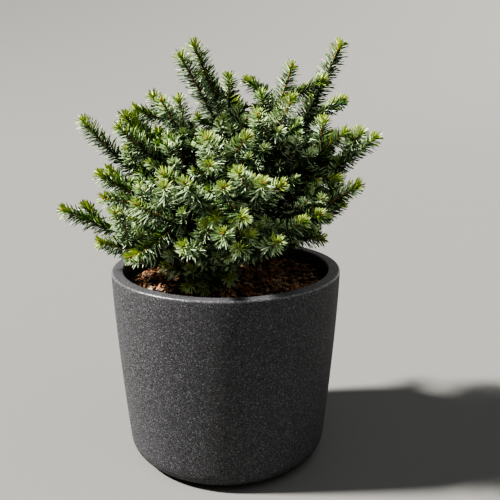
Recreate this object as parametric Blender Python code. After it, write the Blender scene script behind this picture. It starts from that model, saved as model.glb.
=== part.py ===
"""A dwarf Serbian spruce in a round planter, as separate closed solids in metres, +Z up.

The planter stands on z = 0 with its axis on the Z axis, and the soil fills it to a little below the rim.
A short trunk rises from the soil and ends in the leader. Boughs leave it all round, steeper ones higher up,
and each carries one mass of foliage: a stem with side shoots, every shoot a slim three-sided core with
needles standing out of it. +X is to the right and +Y to the back of the plant's best side.
"""

import math
import random
from typing import NamedTuple

import bmesh
import bpy
import numpy as np

# Planter
POT_RADIUS = 0.180
POT_HEIGHT = 0.308
POT_WALL = 0.018
POT_FLOOR = 0.024
WALL_RADIUS_AT_GROUND = 0.157  # the wall's line carried down to the ground
WALL_SWELL = 1.4  # how far the wall bulges from a straight taper, which is 1
FOOT_ROUND = 0.034
RIM_ROUND = 0.003
INNER_ROUND = 0.020
ROUND_SEGMENTS = 32
WALL_STEPS = 5
INNER_STEPS = 3
ARC_STEPS = 4
SMOOTH_ANGLE = 42.0

# Soil
GAP = 0.0003
SOIL_TOP = 0.283
SOIL_HEAP = 0.0035
SOIL_LONG_WAVE = (41.0, 37.0)  # radians a metre along X and along Y
SOIL_SHORT_WAVE = (83.0, -61.0)
SOIL_LEVEL_RADIUS = 0.036  # level round the trunk's foot
SOIL_RINGS = 3

# Trunk
TRUNK_HEIGHT = 0.162
TRUNK_RADIUS = 0.0092
TRUNK_TIP_RADIUS = 0.0048
TRUNK_LEAN = (0.014, 0.004)
TRUNK_BEND = 1.3  # 1 is a straight lean
TRUNK_SIDES = 20
FLARE = 0.0085
FLARE_FALL = 0.011
FLARE_ROOTS = 5
FLARE_HOLLOW = 0.4  # how much of the flare is missing between two roots
TRUNK_RINGS = (0.0, 0.004, 0.009, 0.015, 0.022, 0.032, 0.052, 0.085, 0.125, TRUNK_HEIGHT)

# Boughs
LOWEST_ROOT = 0.023
HIGHEST_ROOT = 0.150
BOUGH_SHARE = 0.36
SHORTEST_WITH_BOUGH = 0.200
STEEPEST_START = 52.0
LOWEST_BOUGH_RADIUS = 0.0042
HIGHEST_BOUGH_RADIUS = 0.0031
BOUGH_TAPER = 0.75
BOUGH_SIDES = 6
BOUGH_RINGS = 4
SEAT = 0.0008  # from the bark's round to a root's rim, whose flat cap bridges the rest
ROOT_REACH = 0.040  # a root comes out of the bark within this length of its line
ROOT_STEPS = 160
SEAT_REACH = (-0.012, 0.030)
SEAT_STEPS = 30
SWEEP_HANDLE = 0.42
LEADER_HANDLE = 0.30

# Shoots
STEM_RADIUS = 0.0034
SHOOT_RADIUS = 0.0030
TIP_RADIUS = 0.0018
BAND = 0.0138
NEEDLE = 0.0185
NEEDLE_LEAN = 40.0  # degrees from square to the shoot, towards its tip
TIP_LEAN = 64.0
TIP_BANDS = 2
BARE_START = 0.008
FORK_HANDLE = 0.45
FORK_FOLLOW = 0.25  # how much of a fork's first direction is its stem's
FORK_LOOK_AHEAD = 0.02
FILL_SHOOTS = 3
FILL_LENGTHS = (0.046, 0.080)
FILL_ANGLE = 52.0
FILL_FIRST = 0.10
FILL_LAST = 0.66
FILL_TRIES = 6
FILL_SPREAD = 0.25  # how much of a side shoot's first direction is its stem's
FILL_CLEAR = 0.006
FILL_STRAY = 0.037  # a side shoot's tip stays this near to some stem or fork
REACH_CONE = 14.0  # and no farther from the hub than those within this angle of it
GOLDEN_TURN = 137.5
SHOOT_SPACING = 0.0125
FORK_FREE = 0.026  # a shoot may be near its own stem for this far
ROOM_STEP = 0.004
SEED = 7

# Each mass's own space
SPOT_STEP = 0.0025
SPACE_MARGIN = 0.0009
NEEDLE_BODY = 0.0060
LIMB_CLEAR = 0.0016
SOIL_CLEAR = 0.0060
RIM_CLEAR = 0.0040
NEEDLE_TESTS = np.array([0.35, 0.7, 1.0])

HUB = np.array([0.010, 0.0, 0.360])
LINE_POINTS = 41
STRETCH_POINTS = 25


class Tip(NamedTuple):
    """A shoot's end seen from the hub: azimuth from +X, rise, reach in mm, and where on the stem it forks."""

    azimuth: float
    rise: float
    reach: float
    fork: float = 0.0


class Mass(NamedTuple):
    """A mass of foliage: its name, how far its limb sags below a straight run, and its tips.

    The first tip ends the stem, and the others end forks of it.
    """

    name: str
    sweep: float
    tips: tuple


# From the lowest root to the highest, so that roots next to each other leave on different sides
MASSES = (
    Mass("foot_front", 6, (Tip(267, -31, 98),)),
    Mass("back_low", 14, (Tip(92, 8, 208), Tip(112, 14, 205, 0.25))),
    Mass("foot_left", 6, (Tip(240, -23, 138),)),
    Mass("right_low", 12, (Tip(22, 10, 201), Tip(3, -4, 146, 0.05), Tip(44, 7, 198, 0.15))),
    Mass("left_low", 12, (Tip(208, 3, 215), Tip(220, -2, 188, 0.12))),
    Mass("front_low_right", 10, (Tip(290, 9, 194), Tip(306, 16, 182, 0.2))),
    Mass("left_long", 16, (Tip(187, 10, 264),)),
    Mass("right_mid", 10, (Tip(-18, 24, 217), Tip(-28, 17, 157, 0.1))),
    Mass("front_low_left", 10, (Tip(251, 7, 190),)),
    Mass("back_left_low", 12, (Tip(150, 10, 228), Tip(131, 5, 198, 0.2))),
    Mass("front_low", 10, (Tip(268, 13, 198),)),
    Mass("back_right", 12, (Tip(52, 28, 240), Tip(70, 24, 218, 0.2))),
    Mass("left_front", 12, (Tip(228, 21, 205),)),
    Mass("back_mid", 12, (Tip(98, 36, 228), Tip(84, 30, 205, 0.3))),
    Mass("left_mid", 12, (Tip(197, 27, 227), Tip(211, 20, 222, 0.1))),
    Mass("front_mid_right", 10, (Tip(284, 30, 219), Tip(300, 34, 178, 0.2))),
    Mass("back_left", 12, (Tip(146, 33, 245), Tip(126, 40, 222, 0.2))),
    Mass("front_mid_left", 10, (Tip(251, 31, 209), Tip(236, 35, 200, 0.2))),
    Mass("right_long", 14, (Tip(-4, 35, 268),)),
    Mass("left_upper", 28, (Tip(180, 38, 289),)),
    Mass("front_mid", 8, (Tip(268, 30, 206),)),
    Mass("back_crown", 10, (Tip(66, 49, 232), Tip(100, 56, 228, 0.15))),
    Mass("left_shoulder", 12, (Tip(197, 45, 242), Tip(169, 49, 239, 0.1))),
    Mass("right_upper", 10, (Tip(-15, 43, 240), Tip(20, 42, 225, 0.15))),
    Mass("left_crown", 6, (Tip(154, 56, 256), Tip(184, 63, 233, 0.1))),
    Mass("leader_far_right", 22, (Tip(10, 60, 335), Tip(25, 46, 284, 0.2))),
    Mass("front_crown", 8, (Tip(256, 52, 205), Tip(284, 56, 196, 0.12))),
    Mass("leader_right", 2, (Tip(12, 70, 274), Tip(72, 73, 245, 0.45))),
    Mass("leader_mid", 4, (Tip(96, 78, 250),)),
    Mass("front_upright", 6, (Tip(-38, 62, 241),)),
    Mass("leader", 0, (Tip(180, 79, 294), Tip(194, 74, 284, 0.16))),
)


class Shoot(NamedTuple):
    """A shoot of foliage: its line, its first radius, its bare length, and whether it roots on the trunk."""

    line: np.ndarray
    radius: float
    bare: float = BARE_START
    rooted: bool = False


def clear_scene() -> None:
    """Remove every object of the scene that the script starts in."""
    for thing in list(bpy.data.objects):
        bpy.data.objects.remove(thing, do_unlink=True)


# Lines

def direction(azimuth: float, rise: float) -> np.ndarray:
    """Unit vector at an azimuth from +X and a rise above the level, in degrees."""
    turn = math.radians(azimuth)
    lift = math.radians(rise)
    return np.array([math.cos(lift) * math.cos(turn), math.cos(lift) * math.sin(turn), math.sin(lift)])


def unit(vector: np.ndarray) -> np.ndarray:
    """The vector at length 1."""
    return vector / np.linalg.norm(vector)


def tip_point(tip: Tip) -> np.ndarray:
    """Where a tip is."""
    return HUB + direction(tip.azimuth, tip.rise) * tip.reach / 1000


def swept_line(start: np.ndarray, leaving: np.ndarray, end: np.ndarray, handle: float) -> np.ndarray:
    """Points of the quadratic curve that leaves start along a direction and ends at end."""
    knee = start + unit(leaving) * handle * np.linalg.norm(end - start)
    t = np.linspace(0, 1, LINE_POINTS)[:, None]
    return (1 - t) ** 2 * start + 2 * t * (1 - t) * knee + t ** 2 * end


def distances_along(line: np.ndarray) -> np.ndarray:
    """Length of the line up to each of its points."""
    return np.concatenate([[0.0], np.cumsum(np.linalg.norm(np.diff(line, axis=0), axis=1))])


def points_along(line: np.ndarray, distances: np.ndarray) -> np.ndarray:
    """Points of the line at distances from its start."""
    measured = distances_along(line)
    return np.stack([np.interp(distances, measured, line[:, axis]) for axis in range(3)], axis=1)


def part_of(line: np.ndarray, start: float, end: float) -> np.ndarray:
    """The stretch of a line between two distances, as evenly spaced points."""
    return points_along(line, np.linspace(start, end, STRETCH_POINTS))


def frames_along(line: np.ndarray) -> tuple:
    """Tangent and two square directions at each point, with no twist about a nearly straight line."""
    tangents = np.gradient(line, axis=0)
    tangents /= np.linalg.norm(tangents, axis=1)[:, None]
    chord = np.abs(unit(line[-1] - line[0]))
    reference = np.eye(3)[int(np.argmin(chord))]
    across = np.cross(tangents, reference)
    across /= np.linalg.norm(across, axis=1)[:, None]
    return tangents, across, np.cross(tangents, across)


# Skeleton

def trunk_axis(height: float) -> np.ndarray:
    """Middle of the trunk at a height above its foot, on its gentle lean."""
    share = (height / TRUNK_HEIGHT) ** TRUNK_BEND
    return np.array([TRUNK_LEAN[0] * share, TRUNK_LEAN[1] * share, SOIL_TOP + GAP + height])


def trunk_radius(height: float, turn: float) -> float:
    """Radius of the trunk at a height and a turn about its axis, where the flare swells over each root."""
    taper = TRUNK_RADIUS + (TRUNK_TIP_RADIUS - TRUNK_RADIUS) * height / TRUNK_HEIGHT
    hollow = FLARE_HOLLOW * (1 + math.sin(FLARE_ROOTS * turn)) / 2
    return taper + FLARE * math.exp(-height / FLARE_FALL) * (1 - hollow)


def outside_bark(point: np.ndarray) -> bool:
    """Whether a point lies outside the trunk by at least the seat."""
    height = point[2] - SOIL_TOP - GAP
    across = point - trunk_axis(min(max(height, 0.0), TRUNK_HEIGHT))
    turn = math.atan2(across[1], across[0])
    return math.hypot(across[0], across[1]) > trunk_radius(min(max(height, 0.0), TRUNK_HEIGHT), turn) + SEAT


def limb_line(mass: Mass, order: int) -> np.ndarray:
    """The line of a mass's bough and stem, from the trunk's axis to the first tip."""
    end = tip_point(mass.tips[0])
    if mass.name == "leader":
        start = trunk_axis(TRUNK_HEIGHT)
        return swept_line(start, direction(0, 90), end, LEADER_HANDLE)
    share = order / (len(MASSES) - 2)
    start = trunk_axis(LOWEST_ROOT + (HIGHEST_ROOT - LOWEST_ROOT) * share)
    run = end - start
    azimuth = math.degrees(math.atan2(run[1], run[0]))
    rise = math.degrees(math.asin(run[2] / np.linalg.norm(run)))
    return swept_line(start, direction(azimuth, min(rise - mass.sweep, STEEPEST_START)), end, SWEEP_HANDLE)


def bough_radii(order: int, count: int) -> np.ndarray:
    """Radii of a bough at evenly spaced points: higher ones are thinner, and each tapers to its tip."""
    share = order / (len(MASSES) - 2)
    root = LOWEST_BOUGH_RADIUS + (HIGHEST_BOUGH_RADIUS - LOWEST_BOUGH_RADIUS) * share
    return np.linspace(root, root * BOUGH_TAPER, count)


def root_distance(line: np.ndarray) -> float:
    """How far along its line a limb comes out of the bark."""
    measured = np.linspace(0, ROOT_REACH, ROOT_STEPS + 1)
    outside = [outside_bark(point) for point in points_along(line, measured)]
    return measured[outside.index(True)]


class Skeleton:
    """Every limb and shoot, and whose each is."""

    def __init__(self) -> None:
        self.boughs = {}
        self.shoots = {}
        self.spots = np.empty((0, 3))
        self.owners = np.empty(0, dtype=int)
        self.reached = np.empty((0, 3))
        self.limb_spots = np.empty((0, 3))
        self.limb_radii = np.empty(0)
        heights = np.arange(0, TRUNK_HEIGHT, SPOT_STEP)
        radii = np.array([trunk_radius(height, -math.pi / 2 / FLARE_ROOTS) for height in heights])
        self.add_limb(np.stack([trunk_axis(height) for height in heights]), radii)

    def add_limb(self, points: np.ndarray, radii: np.ndarray) -> None:
        """Note a limb, which nothing may touch."""
        self.limb_spots = np.concatenate([self.limb_spots, points])
        self.limb_radii = np.concatenate([self.limb_radii, radii])

    def add_shoot(self, name: str, owner: int, shoot: Shoot) -> None:
        """Note a mass's shoot."""
        points = points_along(shoot.line, np.arange(0, distances_along(shoot.line)[-1], SPOT_STEP))
        self.shoots.setdefault(name, []).append(shoot)
        self.spots = np.concatenate([self.spots, points])
        self.owners = np.concatenate([self.owners, np.full(len(points), owner)])

    def clear_of_limbs(self, points: np.ndarray, margin: float) -> bool:
        """Whether the points keep clear of the trunk, the boughs, the soil and the planter's rim."""
        away = np.linalg.norm(points[:, None] - self.limb_spots[None], axis=2) - self.limb_radii
        over_soil = points[:, 2] > SOIL_TOP + SOIL_CLEAR
        radial = np.linalg.norm(points[:, :2], axis=1)
        over_rim = points[:, 2] > POT_HEIGHT + RIM_CLEAR
        in_pot = radial < POT_RADIUS - POT_WALL - RIM_CLEAR
        return bool(np.all(away > margin) and np.all(over_soil) and np.all(over_rim | in_pot))

    def within_reach(self, point: np.ndarray) -> bool:
        """Whether a point is near a stem or fork, and no farther from the hub than those in its direction."""
        away = self.reached - HUB
        spans = np.linalg.norm(away, axis=1)
        span = np.linalg.norm(point - HUB)
        beside = away @ (point - HUB) > math.cos(math.radians(REACH_CONE)) * spans * span
        near = np.linalg.norm(self.reached - point, axis=1).min()
        return bool(near < FILL_STRAY and np.any(beside) and span < spans[beside].max())

    def in_own_space(self, points: np.ndarray, margins: np.ndarray, owner: int) -> bool:
        """Whether each point is nearer to its owner's shoots than to any other mass's, by a margin."""
        away = np.linalg.norm(points[:, None] - self.spots[None], axis=2)
        own = away[:, self.owners == owner].min(axis=1)
        other = away[:, self.owners != owner].min(axis=1)
        return bool(np.all(own + margins < other))

    def room_for(self, line: np.ndarray, owner: int) -> bool:
        """Whether a new shoot stays in reach, and clear of limbs and of every shoot, bar its own stem's fork."""
        length = distances_along(line)[-1]
        points = points_along(line, np.arange(ROOM_STEP, length, ROOM_STEP))
        away = np.linalg.norm(points[:, None] - self.spots[None], axis=2)
        others = away[:, self.owners != owner].min(axis=1)
        grown = points_along(line, np.arange(FORK_FREE, length, ROOM_STEP))
        own = np.linalg.norm(grown[:, None] - self.spots[self.owners == owner][None], axis=2).min(axis=1)
        roomy = np.all(others > SHOOT_SPACING) and np.all(own > SHOOT_SPACING)
        return bool(roomy) and self.within_reach(line[-1]) and self.clear_of_limbs(points, FILL_CLEAR)


def fork_line(stem: np.ndarray, share: float, end: np.ndarray) -> np.ndarray:
    """Line of a fork that leaves the stem at a share of its length and turns to its own end."""
    measured = distances_along(stem)[-1]
    start, ahead = points_along(stem, np.array([share, share + FORK_LOOK_AHEAD]) * measured)
    leaving = unit(end - start) * (1 - FORK_FOLLOW) + unit(ahead - start) * FORK_FOLLOW
    return swept_line(start, leaving, end, FORK_HANDLE)


def fill_line(stem: np.ndarray, share: float, roll: float, length: float) -> np.ndarray:
    """Line of a side shoot that leaves the stem at its own roll about it and bends forward."""
    tangents, across, over = frames_along(stem)
    place = int(round(share * (len(stem) - 1)))
    start = stem[place]
    sideways = across[place] * math.cos(roll) + over[place] * math.sin(roll)
    angle = math.radians(FILL_ANGLE)
    run = unit(tangents[place] * math.cos(angle) + sideways * math.sin(angle))
    outward = tangents[place] * FILL_SPREAD + sideways
    return swept_line(start, outward, start + run * length, FORK_HANDLE)


def grow() -> Skeleton:
    """Lay out every bough, stem, fork and side shoot."""
    skeleton = Skeleton()
    stems = [start_mass(skeleton, mass, order) for order, mass in enumerate(MASSES)]
    for owner, (mass, stem) in enumerate(zip(MASSES, stems)):
        skeleton.add_shoot(mass.name, owner, stem)
        for tip in mass.tips[1:]:
            line = fork_line(stem.line, tip.fork, tip_point(tip))
            skeleton.add_shoot(mass.name, owner, Shoot(line, SHOOT_RADIUS))
    skeleton.reached = skeleton.spots
    for owner, (mass, stem) in enumerate(zip(MASSES, stems)):
        add_fill(skeleton, mass, owner, stem.line)
    return skeleton


def start_mass(skeleton: Skeleton, mass: Mass, order: int) -> Shoot:
    """Lay out a mass's bough, if it has one, and return its stem, which meets that or the trunk."""
    line = limb_line(mass, order)
    length = distances_along(line)[-1]
    if mass.name == "leader":
        return Shoot(part_of(line, GAP, length), STEM_RADIUS, bare=0.0)
    root = root_distance(line)
    if mass.tips[0].reach < SHORTEST_WITH_BOUGH * 1000:
        return Shoot(part_of(line, root, length), STEM_RADIUS, bare=0.0, rooted=True)
    bough = part_of(line, root, length * BOUGH_SHARE)
    skeleton.boughs[mass.name] = bough
    points = points_along(bough, np.arange(0, distances_along(bough)[-1], SPOT_STEP))
    skeleton.add_limb(points, bough_radii(order, len(points)))
    return Shoot(part_of(line, length * BOUGH_SHARE + GAP, length), STEM_RADIUS, bare=0.0)


def add_fill(skeleton: Skeleton, mass: Mass, owner: int, stem: np.ndarray) -> None:
    """Grow a mass's side shoots where there is room for them."""
    draw = random.Random(SEED * 1000 + owner)
    roll = draw.uniform(0, 360)
    for share in np.linspace(FILL_FIRST, FILL_LAST, FILL_SHOOTS):
        for _ in range(FILL_TRIES):
            roll += GOLDEN_TURN
            line = fill_line(stem, share, math.radians(roll), draw.uniform(*FILL_LENGTHS))
            if skeleton.room_for(line, owner):
                skeleton.add_shoot(mass.name, owner, Shoot(line, SHOOT_RADIUS))
                break


# Solids

def new_object(name: str, mesh: bpy.types.Mesh, material: bpy.types.Material) -> bpy.types.Object:
    """Put a mesh in the scene under a name, with its material."""
    thing = bpy.data.objects.new(name, mesh)
    bpy.context.scene.collection.objects.link(thing)
    thing.data.materials.clear()
    thing.data.materials.append(material)
    return thing


def new_material(name: str, colour: tuple, roughness: float) -> bpy.types.Material:
    """A Principled material of one colour."""
    material = bpy.data.materials.new(name)
    material.use_nodes = True
    shader = material.node_tree.nodes["Principled BSDF"]
    shader.inputs["Base Color"].default_value = (*colour, 1.0)
    shader.inputs["Roughness"].default_value = roughness
    shader.inputs["Metallic"].default_value = 0.0
    return material


def lofted(name: str, rings: list, first_middle: np.ndarray, last_middle: np.ndarray) -> bpy.types.Mesh:
    """A closed solid through rings of points, its ends filled from the two middles given."""
    model = bmesh.new()
    loops = [[model.verts.new(point) for point in ring] for ring in rings]
    sides = len(loops[0])
    for lower, upper in zip(loops, loops[1:]):
        for i in range(sides):
            j = (i + 1) % sides
            model.faces.new((lower[i], lower[j], upper[j], upper[i]))
    for loop, point in ((loops[0][::-1], first_middle), (loops[-1], last_middle)):
        middle = model.verts.new(point)
        for i in range(sides):
            model.faces.new((loop[i], loop[(i + 1) % sides], middle))
    mesh = bpy.data.meshes.new(name)
    model.to_mesh(mesh)
    model.free()
    return mesh


def shade_round(mesh: bpy.types.Mesh) -> None:
    """Shade a mesh smooth, bar its sharp edges."""
    mesh.shade_smooth()
    mesh.set_sharp_from_angle(angle=math.radians(SMOOTH_ANGLE))


def arc(middle: tuple, radius: float, start: float, end: float, steps: int) -> list:
    """Points of an arc in the profile's plane, with angles in degrees from outward, anticlockwise."""
    turns = np.radians(np.linspace(start, end, steps + 1))
    return [(middle[0] + radius * math.cos(turn), middle[1] + radius * math.sin(turn)) for turn in turns]


def wall_radius(height: float) -> float:
    """Outer radius of the planter's wall, which swells from a straight taper."""
    share = 1 - (1 - height / POT_HEIGHT) ** WALL_SWELL
    return WALL_RADIUS_AT_GROUND + (POT_RADIUS - WALL_RADIUS_AT_GROUND) * share


def round_foot(floor: float, rounding: float, inset: float) -> list:
    """Points of the round between a floor and the wall above it, from the floor up."""
    lean = math.degrees(math.atan((wall_radius(rounding + 0.01) - wall_radius(rounding)) / 0.01))
    tangent_height = floor + rounding * (1 - math.sin(math.radians(lean)))
    middle = wall_radius(tangent_height) - inset - rounding * math.cos(math.radians(lean))
    return arc((middle, floor + rounding), rounding, -90, -lean, ARC_STEPS)


def outer_profile() -> list:
    """The planter's outside, from the middle of its underside to the flat of its rim."""
    foot = round_foot(0.0, FOOT_ROUND, 0.0)
    heights = np.linspace(foot[-1][1], POT_HEIGHT - RIM_ROUND, WALL_STEPS + 1)[1:]
    wall = [(wall_radius(height), height) for height in heights]
    rim = arc((wall[-1][0] - RIM_ROUND, POT_HEIGHT - RIM_ROUND), RIM_ROUND, 0, 90, 2)[1:]
    return [(0.0, 0.0)] + foot + wall + rim


def inner_profile(clearance: float, *higher: float) -> list:
    """The planter's inside less a clearance, from the middle of its floor to the soil and higher."""
    foot = round_foot(POT_FLOOR + clearance, INNER_ROUND, POT_WALL + clearance)
    heights = [*np.linspace(foot[-1][1], SOIL_TOP, INNER_STEPS + 1)[1:], *higher]
    wall = [(wall_radius(height) - POT_WALL - clearance, height) for height in heights]
    return [(0.0, POT_FLOOR + clearance)] + foot + wall


def turned(name: str, profile: list) -> bpy.types.Mesh:
    """A closed solid of revolution about Z of a profile whose two ends lie on the axis."""
    model = bmesh.new()
    points = [model.verts.new((radius, 0.0, height)) for radius, height in profile]
    edges = [model.edges.new(pair) for pair in zip(points, points[1:])]
    bmesh.ops.spin(model, geom=points + edges, axis=(0, 0, 1), cent=(0, 0, 0), angle=math.tau,
                   steps=ROUND_SEGMENTS, use_merge=True, use_normal_flip=False)
    bmesh.ops.remove_doubles(model, verts=model.verts, dist=1e-6)
    bmesh.ops.recalc_face_normals(model, faces=model.faces)
    mesh = bpy.data.meshes.new(name)
    model.to_mesh(mesh)
    model.free()
    return mesh


def build_planter(material: bpy.types.Material) -> None:
    """The planter: one thick wall with a flat rim, a round foot and a flat underside."""
    inside = inner_profile(0.0, POT_HEIGHT)
    mesh = turned("planter", outer_profile() + inside[::-1])
    shade_round(mesh)
    new_object("planter", mesh, material)


def soil_height(x: float, y: float) -> float:
    """Height of the soil, level at the trunk and gently heaped outside it."""
    outside = min(max((math.hypot(x, y) - SOIL_LEVEL_RADIUS) / SOIL_LEVEL_RADIUS, 0.0), 1.0)
    long_wave = math.sin(SOIL_LONG_WAVE[0] * x) * math.cos(SOIL_LONG_WAVE[1] * y)
    short_wave = math.sin(SOIL_SHORT_WAVE[0] * x + SOIL_SHORT_WAVE[1] * y)
    return SOIL_TOP + SOIL_HEAP * outside * (2 * long_wave + short_wave) / 3


def build_soil(material: bpy.types.Material) -> None:
    """The soil: it fills the planter to just clear of its wall, and its top is gently uneven."""
    profile = inner_profile(GAP)
    radii = np.linspace(profile[-1][0], SOIL_LEVEL_RADIUS, SOIL_RINGS + 1)[1:]
    mesh = turned("soil", profile + [(radius, SOIL_TOP) for radius in (*radii, 0.0)])
    for vertex in mesh.vertices:
        if vertex.co.z > SOIL_TOP - GAP:
            vertex.co.z = soil_height(vertex.co.x, vertex.co.y)
    shade_round(mesh)
    new_object("soil", mesh, material)


def build_trunk(material: bpy.types.Material) -> None:
    """The trunk: flared over its roots, tapering and leaning a little to where the leader goes on."""
    turns = np.linspace(0, math.tau, TRUNK_SIDES, endpoint=False)
    rings = [[trunk_axis(height) + trunk_radius(height, t) * np.array([math.cos(t), math.sin(t), 0.0])
              for t in turns] for height in TRUNK_RINGS]
    mesh = lofted("trunk", rings, trunk_axis(0.0), trunk_axis(TRUNK_HEIGHT))
    shade_round(mesh)
    new_object("trunk", mesh, material)


def seated(point: np.ndarray, back: np.ndarray) -> np.ndarray:
    """A point of a root's rim, slid back along the limb until it lies on the bark."""
    near, far = SEAT_REACH
    for _ in range(SEAT_STEPS):
        middle = (near + far) / 2
        if outside_bark(point + back * middle):
            near = middle
        else:
            far = middle
    return point + back * near


def build_bough(name: str, order: int, line: np.ndarray, material: bpy.types.Material) -> None:
    """A bough: a tapering limb, its root cut to the bark's round and its tip square to its line."""
    stations = points_along(line, np.linspace(0, distances_along(line)[-1], BOUGH_RINGS))
    tangents, across, over = frames_along(stations)
    turns = np.linspace(0, math.tau, BOUGH_SIDES, endpoint=False)
    rings = [[middle + radius * (across[i] * math.cos(t) + over[i] * math.sin(t)) for t in turns]
             for i, (middle, radius) in enumerate(zip(stations, bough_radii(order, BOUGH_RINGS)))]
    rings[0] = [seated(point, -tangents[0]) for point in rings[0]]
    mesh = lofted(name, rings, seated(stations[0], -tangents[0]), stations[-1])
    shade_round(mesh)
    new_object(name, mesh, material)


def needle_fits(skeleton: Skeleton, owner: int, base: np.ndarray, point: np.ndarray) -> bool:
    """Whether a needle keeps to its mass's space and clear of every limb."""
    points = base + NEEDLE_TESTS[:, None] * (point - base)
    margins = SPACE_MARGIN + (1 - NEEDLE_TESTS) * NEEDLE_BODY
    return skeleton.clear_of_limbs(points, LIMB_CLEAR) and skeleton.in_own_space(points, margins, owner)


def build_shoot(skeleton: Skeleton, owner: int, shoot: Shoot) -> bpy.types.Mesh:
    """A shoot: a slim three-sided core whose rings turn by half a side, so that each band has three
    triangles that stand on a side and three that stand on a point. The first three become needles.
    """
    length = distances_along(shoot.line)[-1]
    bands = max(int(round(length / BAND)), 3)
    stations = points_along(shoot.line, np.linspace(0, length, bands + 1))
    tangents, across, over = frames_along(stations)
    model = bmesh.new()
    rings = []
    for k, middle in enumerate(stations[:-1]):
        radius = shoot.radius + (TIP_RADIUS - shoot.radius) * k / bands
        turns = np.arange(3) * math.tau / 3 + k * math.pi / 3
        ring = [middle + radius * (across[k] * math.cos(t) + over[k] * math.sin(t)) for t in turns]
        if k == 0 and shoot.rooted:
            ring = [seated(point, -tangents[0]) for point in ring]
        rings.append([model.verts.new(point) for point in ring])
    end = model.verts.new(stations[-1])
    foot = model.faces.new(rings[0][::-1])
    if shoot.rooted:
        bmesh.ops.poke(model, faces=[foot])["verts"][0].co = seated(stations[0], -tangents[0])
    standing = []
    for k, (lower, upper) in enumerate(zip(rings, rings[1:])):
        for i in range(3):
            j = (i + 1) % 3
            standing.append((k, model.faces.new((lower[i], lower[j], upper[i]))))
            model.faces.new((lower[j], upper[j], upper[i]))
    for i in range(3):
        model.faces.new((rings[-1][i], rings[-1][(i + 1) % 3], end))
    for k, face in standing:
        if length * k / bands >= shoot.bare:
            lean = TIP_LEAN if k >= bands - 1 - TIP_BANDS else NEEDLE_LEAN
            grow_needle(model, face, tangents[k], lean, skeleton, owner)
    mesh = bpy.data.meshes.new("shoot")
    model.to_mesh(mesh)
    model.free()
    return mesh


def grow_needle(model: bmesh.types.BMesh, face: bmesh.types.BMFace, forward: np.ndarray, lean: float,
                skeleton: Skeleton, owner: int) -> None:
    """Raise a triangle of the core into a needle, or leave it plain where the needle has no room."""
    base = np.array(face.calc_center_median())
    face.normal_update()
    outward = unit(np.array(face.normal) - forward * np.dot(face.normal, forward))
    tilt = math.radians(lean)
    point = base + NEEDLE * (outward * math.cos(tilt) + forward * math.sin(tilt))
    if needle_fits(skeleton, owner, base, point):
        apex = bmesh.ops.poke(model, faces=[face])["verts"][0]
        apex.co = point


def largest_body(mesh: bpy.types.Mesh) -> None:
    """Keep only the largest connected body, which drops loose scraps and fills sealed hollows."""
    model = bmesh.new()
    model.from_mesh(mesh)
    left = set(model.verts)
    bodies = []
    while left:
        body = set()
        front = [left.pop()]
        while front:
            vertex = front.pop()
            body.add(vertex)
            near = {edge.other_vert(vertex) for edge in vertex.link_edges} & left
            left -= near
            front.extend(near)
        bodies.append(body)
    bodies.sort(key=len)
    for body in bodies[:-1]:
        bmesh.ops.delete(model, geom=list(body), context="VERTS")
    bmesh.ops.triangulate(model, faces=model.faces)
    model.to_mesh(mesh)
    model.free()


def build_mass(skeleton: Skeleton, owner: int, name: str, material: bpy.types.Material) -> None:
    """A mass of foliage: its stem, forks and side shoots joined by one union."""
    shoots = [new_object("shoot", build_shoot(skeleton, owner, shoot), material)
              for shoot in skeleton.shoots[name]]
    stem, *others = shoots
    group = bpy.data.collections.new(name + "_side_shoots")
    bpy.context.scene.collection.children.link(group)
    for other in others:
        group.objects.link(other)
    if others:
        union = stem.modifiers.new("join", "BOOLEAN")
        union.operation = "UNION"
        union.operand_type = "COLLECTION"
        union.collection = group
        union.solver = "EXACT"
    joined = bpy.data.meshes.new_from_object(stem.evaluated_get(bpy.context.evaluated_depsgraph_get()))
    largest_body(joined)
    for shoot in shoots:
        bpy.data.objects.remove(shoot, do_unlink=True)
    bpy.data.collections.remove(group)
    new_object(name, joined, material)


def main() -> None:
    """Build every solid."""
    clear_scene()
    composite = new_material("planter_composite", (0.045, 0.045, 0.050), 0.85)
    mulch = new_material("bark_mulch", (0.085, 0.045, 0.028), 0.95)
    bark = new_material("bark", (0.130, 0.075, 0.045), 0.90)
    foliage = new_material("needles", (0.070, 0.150, 0.075), 0.55)
    skeleton = grow()
    build_planter(composite)
    build_soil(mulch)
    build_trunk(bark)
    for owner, mass in enumerate(MASSES):
        if mass.name in skeleton.boughs:
            build_bough(mass.name + "_bough", owner, skeleton.boughs[mass.name], bark)
        build_mass(skeleton, owner, mass.name, foliage)


main()
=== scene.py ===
"""Looks of a dwarf Serbian spruce in a round planter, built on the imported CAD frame.

The limbs and shoots are laid out by the rule of the CAD source, in metres and in its frame. Finer twigs
then fill the same reach, and needles stand round every shoot. The planter, the bark mulch, the bark of the
trunk and boughs, and a plain pale studio complete the picture.
"""

import logging
import math
import random
from dataclasses import dataclass, field, replace
from enum import Enum, IntEnum

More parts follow.
